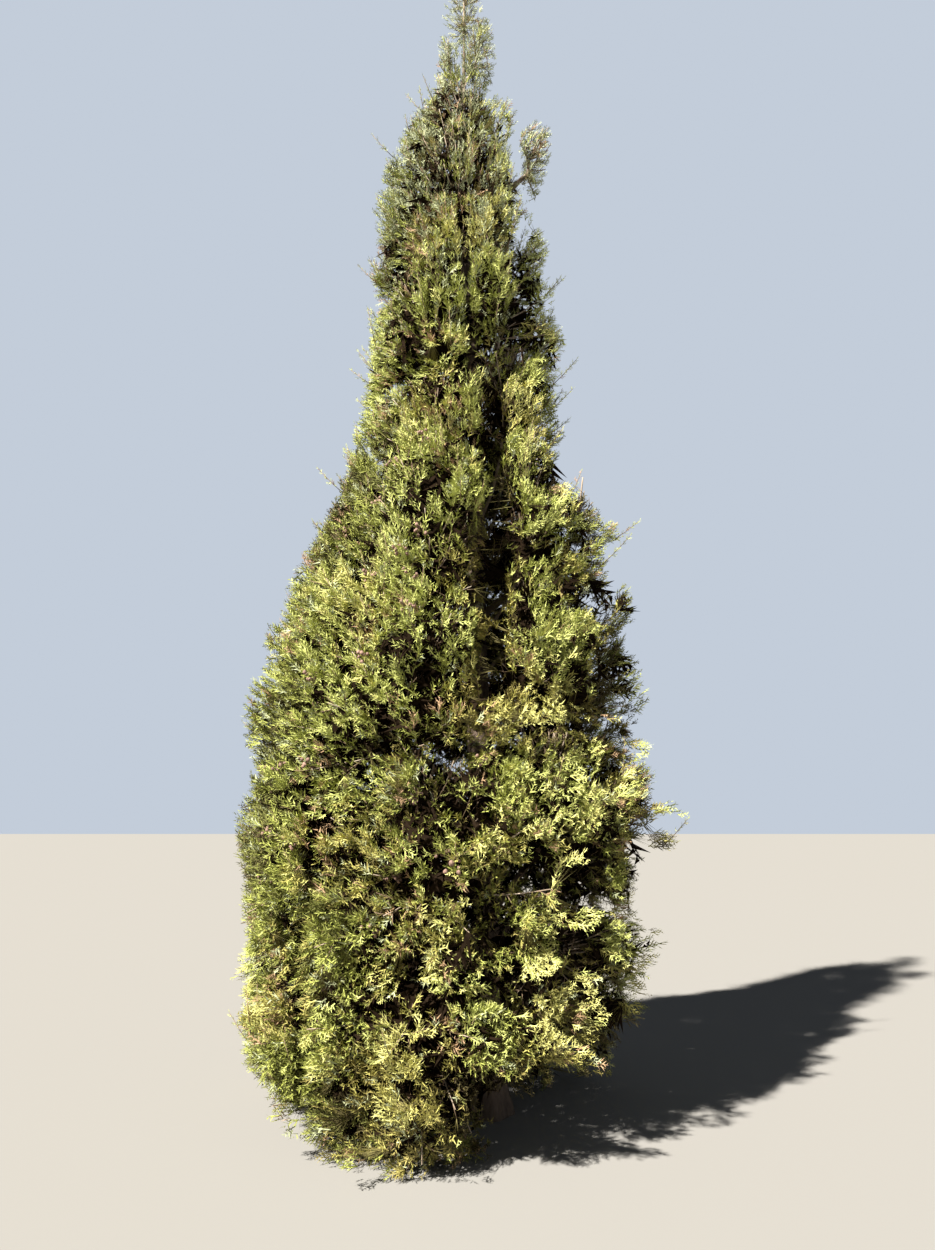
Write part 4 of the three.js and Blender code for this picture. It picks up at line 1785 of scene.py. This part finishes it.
TO_THE_LEFT = (0.0, -0.9)
ON_THE_FLANKS = (0.7, 0.95)
# Where the tints paint more sunlight or more shade, such as painted shade under the raised foot on the right
# and on the flanks, and a painted highlight in the middle.
LIGHT_PATCHES = (
    Patch("foot", 0.06, heights=(3.2, 0.8)),
    Patch("top", -0.1, heights=(4.0, 5.4)),
    Patch("middle", 0.1, width=0.45),
    Patch("lower left", -0.16, across=TO_THE_LEFT, heights=(1.9, 1.1)),
    Patch("left", 0.1, across=TO_THE_LEFT, heights=(1.7, 2.2), until=(3.0, 2.7)),
    Patch("upper left", -0.08, across=(0.2, -0.4), heights=(2.8, 3.2)),
    Patch("foot on the right", -0.4, azimuth=-50.0, facing=(0.5, 0.9), heights=(0.65, 0.35)),
    Patch("flanks", -0.3, flanks=ON_THE_FLANKS, heights=(0.9, 1.3), until=(3.9, 3.2)),
    Patch("front left", 0.14, azimuth=-125.0, breadth=0.36, heights=(1.8, 2.2), until=(3.5, 3.2)),
)
WARM_PATCHES = (
    Patch("foot", 0.18, heights=(3.2, 0.8)),
    Patch("left", -0.16, across=TO_THE_LEFT),
    Patch("lower left", -0.1, across=TO_THE_LEFT, heights=(1.7, 0.7)),
    Patch("flanks", -0.28, flanks=ON_THE_FLANKS, heights=(0.9, 1.3)),
)
GREY_PATCHES = (
    Patch("left", 0.06, across=TO_THE_LEFT),
    Patch("top", 0.5, heights=(3.8, 5.4)),
)

# The painted light from which on a spray bears a tint, and its tints where it is warm and where it is green
TINT_LEVELS = (
    (0.58, Tint.OLIVE, Tint.MOSS),
    (0.76, Tint.STRAW, Tint.FRESH),
    (0.96, Tint.GILDED, Tint.LIME),
)


@dataclass
class Foliage:
    """All the sprays, dealt out among the tints, and so among painted sunlight and shade, by their place in
    the crown.
    """

    crown: Crown
    pattern: SprayPattern = SprayPattern()
    dead_pattern: SprayPattern = DEAD_SPRAY
    trim_light: float = 0.9
    drift_gain: float = 0.5
    drift_shares: Span = (0.4, 0.6)
    drift_lumps: Span = (0.12, 0.4)
    light_speckle: float = 0.3
    warm_level: float = 0.57
    warm_lump: float = 0.33
    warm_speckle: float = 0.5
    grey_share: float = 0.03
    grey_on_tufts: float = 0.3
    grey_least_light: float = 0.5
    tan_share: float = 0.24
    tan_lump: float = 0.2
    tan_levels: Span = (0.58, 0.8)
    tan_least_light: float = 0.6
    ground_gap: float = 0.003

    def _light(self, owners: Array, tips: Array) -> Array:
        """How much painted sunlight or shade the sprays' tints show.

        Args:
            owners: Number of each spray's plume.
            tips: Where the sprays end.

        Returns:
            About 0 deep in the crown and 1 at its skin.
        """
        own, _, _, _ = self.crown.depth(owners, tips)
        outness = own / self.crown.spray_skin + self.trim_light * self.crown.trim(tips)
        fine, slow = (
            share * lumps(tips, size, salt)
            for share, size, salt in zip(self.drift_shares, self.drift_lumps, (1.7, 4.4))
        )
        speckle = self.light_speckle * (chance(np.arange(len(tips)), salt=3.3) - 0.5)
        light = outness + self.drift_gain * (fine + slow - 0.5) + speckle
        return light + sum(patch.at(tips) for patch in LIGHT_PATCHES)

    def tints(self, sprays: Shoots) -> Array:
        """Deals out the tints, which paint sunlight and shade on the sprays.

        Args:
            sprays: The sprays.

        Returns:
            The number of each spray's tint.
        """
        tips = sprays.tips
        number = np.arange(len(sprays))
        light = self._light(sprays.owners, tips)
        warmth = lumps(tips, self.warm_lump, salt=7.1) + self.warm_speckle * (chance(number, salt=5.9) - 0.5)
        warmth += sum(patch.at(tips) for patch in WARM_PATCHES)
        order = list(Tint)
        made = np.full(len(sprays), order.index(Tint.DEEP))
        for level, warm, green in TINT_LEVELS:
            lit = light > level
            made[lit] = np.where(warmth[lit] > self.warm_level, order.index(warm), order.index(green))
        pale = self.grey_share + sum(patch.at(tips) for patch in GREY_PATCHES)
        pale += self.grey_on_tufts * ~self.crown.dense[sprays.owners]
        greyed = (chance(number, salt=8.8) < pale) & (light > self.grey_least_light)
        made[greyed] = order.index(Tint.GREY)
        dry = self.tan_share * smooth(*self.tan_levels, lumps(tips, self.tan_lump, salt=8.3))
        browned = (chance(number, salt=2.2) < dry) & (light > self.tan_least_light)
        made[browned] = order.index(Tint.TAN)
        return made

    def build(self, sprays: Shoots, inner: Shoots) -> None:
        """Makes the pieces, one kind of colour at a time.

        Args:
            sprays: The living sprays.
            inner: The dead ones inside the crown.
        """
        tints = self.tints(sprays)
        order = list(Tint)
        for tint in order[:-1]:
            self._cast(tint, sprays.only(tints == order.index(tint)), self.pattern)
        self._cast(Tint.DEAD, inner, self.dead_pattern)

    def _cast(self, tint: Tint, sprays: Shoots, pattern: SprayPattern) -> None:
        """Makes the pieces of one tint.

        Args:
            tint: The tint.
            sprays: The sprays that bear it.
            pattern: How they are drawn.
        """
        drawn = (chance(np.arange(len(sprays)), salt=5.1) * pattern.drawings).astype(int)
        sheaf = Sheaf()
        for seed in range(pattern.drawings):
            points, faces = pattern.draw(seed)
            sheaf.add(self._laid(sprays.only(drawn == seed), points, seed), faces)
        sheaf.cast(tint.value.name, tint.value.material(), self.crown.nodes, soft=False)

    def _laid(self, sprays: Shoots, points: Array, seed: int) -> Array:
        """Lays a drawing along sprays, with a roll and a curl for each, off the ground.

        Args:
            sprays: The sprays.
            points: Corners of the drawing.
            seed: Number of the drawing.

        Returns:
            The corners, as sprays by corners by 3.
        """
        side, _ = plane_of(sprays.headings)
        roll = 2 * np.pi * chance(np.arange(len(sprays)), seed + 0.9)
        side = turned(side, sprays.headings, roll)
        normal = np.cross(sprays.headings, side)
        flat = placed(points, sprays.headings, side, normal)
        bend = points[None, :, :1] ** 2 * sprays.curls[:, None]
        laid = sprays.roots[:, None] + sprays.lengths[:, None, None] * (flat + bend)
        laid[..., 2] += np.maximum(self.ground_gap - laid[..., 2].min(1), 0)[:, None]
        return laid


@dataclass(frozen=True)
class Cones:
    """Woody cones of a dozen scales, in clusters where the photograph shows them."""

    crown: Crown
    length: float = 0.021
    width: float = 0.018
    sides: int = 11
    rings: int = 8
    poles: Span = (0.12, 0.05)
    pairs: int = 6
    first_pair: float = 0.6
    twist: float = 0.35
    seam: float = 0.16
    seam_levels: Span = (0.22, 0.02)
    boss: float = 0.14
    boss_width: float = 0.26
    azimuth: float = -125.0
    spread: float = 34.0
    twig_place: float = 0.8
    least_outness: float = 0.8
    cluster: int = 8
    cluster_reach: float = 0.034
    cluster_shape: Triple = (1.0, 1.0, 0.8)
    lean: float = 0.9
    lean_turns: Span = (9.0, 7.0)
    sizes: Span = (0.8, 1.15)

    def _scales(self) -> Array:
        """Deals the scales out over a ball in opposite pairs, each pair square to the last.

        Returns:
            Their middles, one a row.
        """
        pair = np.repeat(np.arange(self.pairs), 2)
        half = np.tile([0, math.pi], self.pairs)
        tilt = math.pi * (pair + self.first_pair) / (self.pairs - 1 + 2 * self.first_pair)
        around = half + pair * math.pi / 2 + self.twist * (pair // 2)
        return np.stack([np.sin(tilt) * np.cos(around), np.sin(tilt) * np.sin(around), np.cos(tilt)], 1)

    def _shape(self) -> tuple[Array, Array]:
        """One cone that hangs from its stalk along -z, with a boss on each scale.

        Returns:
            Corners and triangles.
        """
        polar = np.linspace(self.poles[0], math.pi - self.poles[1], self.rings)[:, None]
        turn = 2 * math.pi * np.arange(self.sides) / self.sides
        spots = np.stack(
            [np.sin(polar) * np.cos(turn), np.sin(polar) * np.sin(turn), np.cos(polar) + 0 * turn], -1
        )
        gaps = np.sort(np.linalg.norm(spots[:, :, None] - self._scales(), axis=-1), axis=-1)
        swell = 1 - self.seam * smooth(*self.seam_levels, gaps[..., 1] - gaps[..., 0])
        swell += self.boss * smooth(self.boss_width, 0.0, gaps[..., 0])
        points = spots * swell[..., None] * [self.width / 2, self.width / 2, self.length / 2]
        points[..., 2] -= self.length / 2
        return points.reshape(-1, 3), ring_faces(self.rings, self.sides)[:, ::-1]

    def _clusters(self, twigs: Shoots) -> tuple[Array, list[str]]:
        """Picks twigs that end near the skin, on the side that bears cones.

        Args:
            twigs: The twigs of the crown.

        Returns:
            The middles of the clusters, and the nodes whose masses bear them.
        """
        tips = twigs.at(self.twig_place)
        own, _, shared, _ = self.crown.depth(twigs.owners, tips)
        outness = own / self.crown.skins(twigs.owners, tips, shared)
        off = np.degrees(np.arctan2(tips[:, 1], tips[:, 0])) - self.azimuth
        sunny = (np.abs((off + 180) % 360 - 180) < self.spread) & (outness > self.least_outness)
        order = np.argsort(chance(np.arange(len(twigs)), salt=4.2))
        places, bearers = [], []
        for index, plume in enumerate(self.crown.plumes):
            mine = order[(twigs.owners[order] == index) & sunny[order]][: plume.sizes.cones]
            places.append(tips[mine])
            bearers += [plume.node] * (len(mine) > 0)
        return np.concatenate(places), bearers

    def build(self, twigs: Shoots) -> None:
        """Hangs the clusters.

        Args:
            twigs: The twigs of the crown.
        """
        clusters, bearers = self._clusters(twigs)
        middles = np.repeat(clusters, self.cluster, 0)
        number = np.arange(len(middles))
        shift = np.stack([chance(number, salt) - 0.5 for salt in (1.3, 2.6, 5.2)], 1)
        middles = middles + 2 * self.cluster_reach * shift * self.cluster_shape
        first, second = self.lean_turns
        tilt = [self.lean * np.sin(first * shift[:, 1]), self.lean * np.cos(second * shift[:, 0])]
        down = unit(np.stack([*tilt, np.ones(len(number))], 1))
        side, normal = plane_of(down)
        points, faces = self._shape()
        sizes = between(self.sizes, chance(number, salt=7.4))[:, None, None]
        sheaf = Sheaf()
        sheaf.add(middles[:, None] + sizes * placed(points, side, normal, down), faces)
        sheaf.cast("cones", ConeFinish().material(), bearers, soft=True)


@dataclass(frozen=True)
class Taper:
    """How limbs of one kind are drawn: their radii at the foot and the tip, their rings and sides."""

    foot: float
    tip: float
    rings: int
    sides: int

    def along(self, lines: Array) -> tuple[Array, Array]:
        """Tubes of that kind along lines of places."""
        radii = np.tile(np.linspace(self.foot, self.tip, self.rings), (len(lines), 1))
        return tubes(lines, radii, self.sides)


@dataclass(frozen=True)
class Limbs:
    """Boughs, the stems of the plumes, their branches and their twigs."""

    crown: Crown
    bough: Taper = Taper(foot=0.021, tip=0.013, rings=26, sides=14)
    stem: Taper = Taper(foot=0.011, tip=0.004, rings=22, sides=8)
    branch: Taper = Taper(foot=0.0055, tip=0.0022, rings=6, sides=4)
    twig: Taper = Taper(foot=0.0026, tip=0.0014, rings=3, sides=3)
    twiglet_radius: float = 0.0019
    ridge_size: float = 0.012
    ridge_stretch: Triple = (1.0, 1.0, 0.3)
    ridge_swell: Span = (0.9, 1.15)

    def boughs(self, bark: bpy.types.Material) -> None:
        """Makes the boughs, with ridges of bark.

        Args:
            bark: Their material.
        """
        hung = [plume for plume in self.crown.plumes if plume.sizes.bough]
        shares = np.linspace(0, 1, self.bough.rings)[:, None]
        runs = (plume.bough_line for plume in hung)
        lines = np.stack([run[0] + shares * np.diff(run, axis=0) for run in runs])
        points, faces = self.bough.along(lines)
        middles = np.repeat(lines, self.bough.sides, axis=1)
        ridges = np.stack([lumps(each, self.ridge_size, salt=2.2) for each in points * self.ridge_stretch])
        swell = between(self.ridge_swell, ridges[..., None])
        sheaf = Sheaf()
        sheaf.add(middles + (points - middles) * swell, faces)
        sheaf.cast("boughs_bark", bark, [f"bough_{plume.name}" for plume in hung], soft=True)

    def thin(self, branches: Shoots, twigs: Shoots, twiglets: Shoots) -> None:
        """Makes everything thinner than a bough.

        Args:
            branches: Branches of the plumes.
            twigs: Twigs of the branches.
            twiglets: What grows on the twigs.
        """
        shares = np.linspace(0, 1, self.stem.rings)
        stems = Sheaf()
        stems.add(*self.stem.along(np.stack([plume.stem.at(shares) for plume in self.crown.plumes])))
        stems.add(*self.branch.along(branches.paths(self.branch.rings)))
        stems.cast("branches", TwigFinish().material(), self.crown.nodes, soft=True)
        thin = Sheaf()
        thin.add(*self.twig.along(twigs.paths(self.twig.rings)))
        thin.cast("twigs", TWIG.material(), self.crown.nodes, soft=True)
        shoots = Sheaf()
        shoots.add(*spikes(twiglets, self.twiglet_radius))
        shoots.cast("green_shoots", SHOOT.material(), self.crown.nodes, soft=True)


# Studio


@dataclass(frozen=True)
class Lamp:
    """A lamp of the studio, with its place and what it gives."""

    name: str
    kind: str
    place: Triple
    power: float
    colour: Triple

    def hang(self, aim: Triple) -> bpy.types.Light:
        """Hangs it.

        Args:
            aim: The place that it faces.

        Returns:
            The light, for the settings of its own kind.
        """
        light = bpy.data.lights.new(self.name, self.kind)
        light.energy = self.power
        light.color = self.colour
        made = bpy.data.objects.new(self.name, light)
        made.location = self.place
        made.rotation_euler = (Vector(aim) - Vector(self.place)).to_track_quat("-Z", "Y").to_euler()
        bpy.context.scene.collection.objects.link(made)
        return light


@dataclass(frozen=True)
class Studio:
    """Pale floor, soft light and the camera at the photograph's viewing angle."""

    eye: Triple = (-0.10, -5.15, 1.55)
    pitch: float = 10.44
    focal_pixels: float = 950.0
    frame_height: float = 1250.0
    sensor: float = 36.0
    floor_size: float = 80.0
    floor_colour: Triple = (0.2, 0.196, 0.188)
    sun: Lamp = Lamp("sun", "SUN", place=(-6.6, -7.1, 12.5), power=17.0, colour=(1.0, 0.95, 0.86))
    sun_angle: float = 1.2
    fill: Lamp = Lamp("fill", "AREA", place=(6.0, -7.0, 4.0), power=70.0, colour=(0.9, 0.95, 1.0))
    fill_size: float = 6.0
    aim: Triple = (0.0, 0.0, 2.8)
    sky: Triple = (0.78, 0.87, 1.0)
    sky_strength: float = 0.15
    backdrop_strength: float = 0.70

    def build(self) -> None:
        """Sets it all up."""
        self._floor()
        sun = self.sun.hang(self.aim)
        sun.angle = math.radians(self.sun_angle)
        fill = self.fill.hang(self.aim)
        fill.size = self.fill_size
        self._world()
        self._camera()

    def _floor(self) -> None:
        """A wide pale floor."""
        half = self.floor_size / 2
        corners = np.array([[-half, -half, 0], [half, -half, 0], [half, half, 0], [-half, half, 0]])
        inputs = {"Base Color": (*self.floor_colour, 1.0), "Roughness": 1.0, "Specular IOR Level": 0.0}
        material = Graph("studio_floor").finish(inputs)
        floor = mesh_piece("floor", corners, np.array([[0, 1, 2], [0, 2, 3]]), material, soft=False)

    def _world(self) -> None:
        """A pale sky, brighter as a backdrop than as a light."""
        world = bpy.data.worlds.new("studio")
        bpy.context.scene.world = world
        world.use_nodes = True
        background = world.node_tree.nodes["Background"]
        background.inputs["Color"].default_value = (*self.sky, 1.0)
        rays = world.node_tree.nodes.new("ShaderNodeLightPath")
        seen = world.node_tree.nodes.new("ShaderNodeMapRange")
        seen.inputs["To Min"].default_value = self.sky_strength
        seen.inputs["To Max"].default_value = self.backdrop_strength
        world.node_tree.links.new(rays.outputs["Is Camera Ray"], seen.inputs["Value"])
        world.node_tree.links.new(seen.outputs["Result"], background.inputs["Strength"])
        bpy.context.scene.view_settings.view_transform = "Standard"

    def _camera(self) -> None:
        """The camera, at the height of the eyes and looking a little up."""
        lens = bpy.data.cameras.new("camera")
        lens.sensor_width = self.sensor
        lens.lens = self.sensor * self.focal_pixels / self.frame_height
        camera = bpy.data.objects.new("camera", lens)
        camera.location = self.eye
        camera.rotation_euler = (math.radians(90 + self.pitch), 0.0, 0.0)
        bpy.context.scene.collection.objects.link(camera)
        bpy.context.scene.camera = camera


def main() -> None:
    """Grows the tree, dresses it and sets up the studio."""
    logging.basicConfig(level=logging.INFO, format="%(message)s")
    bark = BarkFinish().material()
    trunk = Trunk()
    trunk.build(bark)
    crown = Crown(trunk)
    growth = Growth(crown)
    branches = growth.branches()
    twigs = growth.twigs(branches)
    sprays = growth.sprays(twigs)
    outer, twiglets = growth.skin_sprays(twigs, branches)
    inner = growth.inner_sprays(twigs, branches)
    wisps, borne = growth.wisps(outer)
    log.info("%d branches, %d twigs, %d twiglets", len(branches), len(twigs), len(twiglets))
    log.info("%d sprays on twigs, %d at the skin, %d dead inside", len(sprays), len(outer), len(inner))
    log.info("%d wisps with %d sprays", len(wisps), len(borne))
    limbs = Limbs(crown)
    limbs.boughs(bark)
    limbs.thin(branches, joined([twigs, wisps]), twiglets)
    Foliage(crown).build(joined([sprays, outer, borne]), inner)
    Cones(crown).build(twigs)
    Studio().build()


if __name__ == "__main__":
    main()
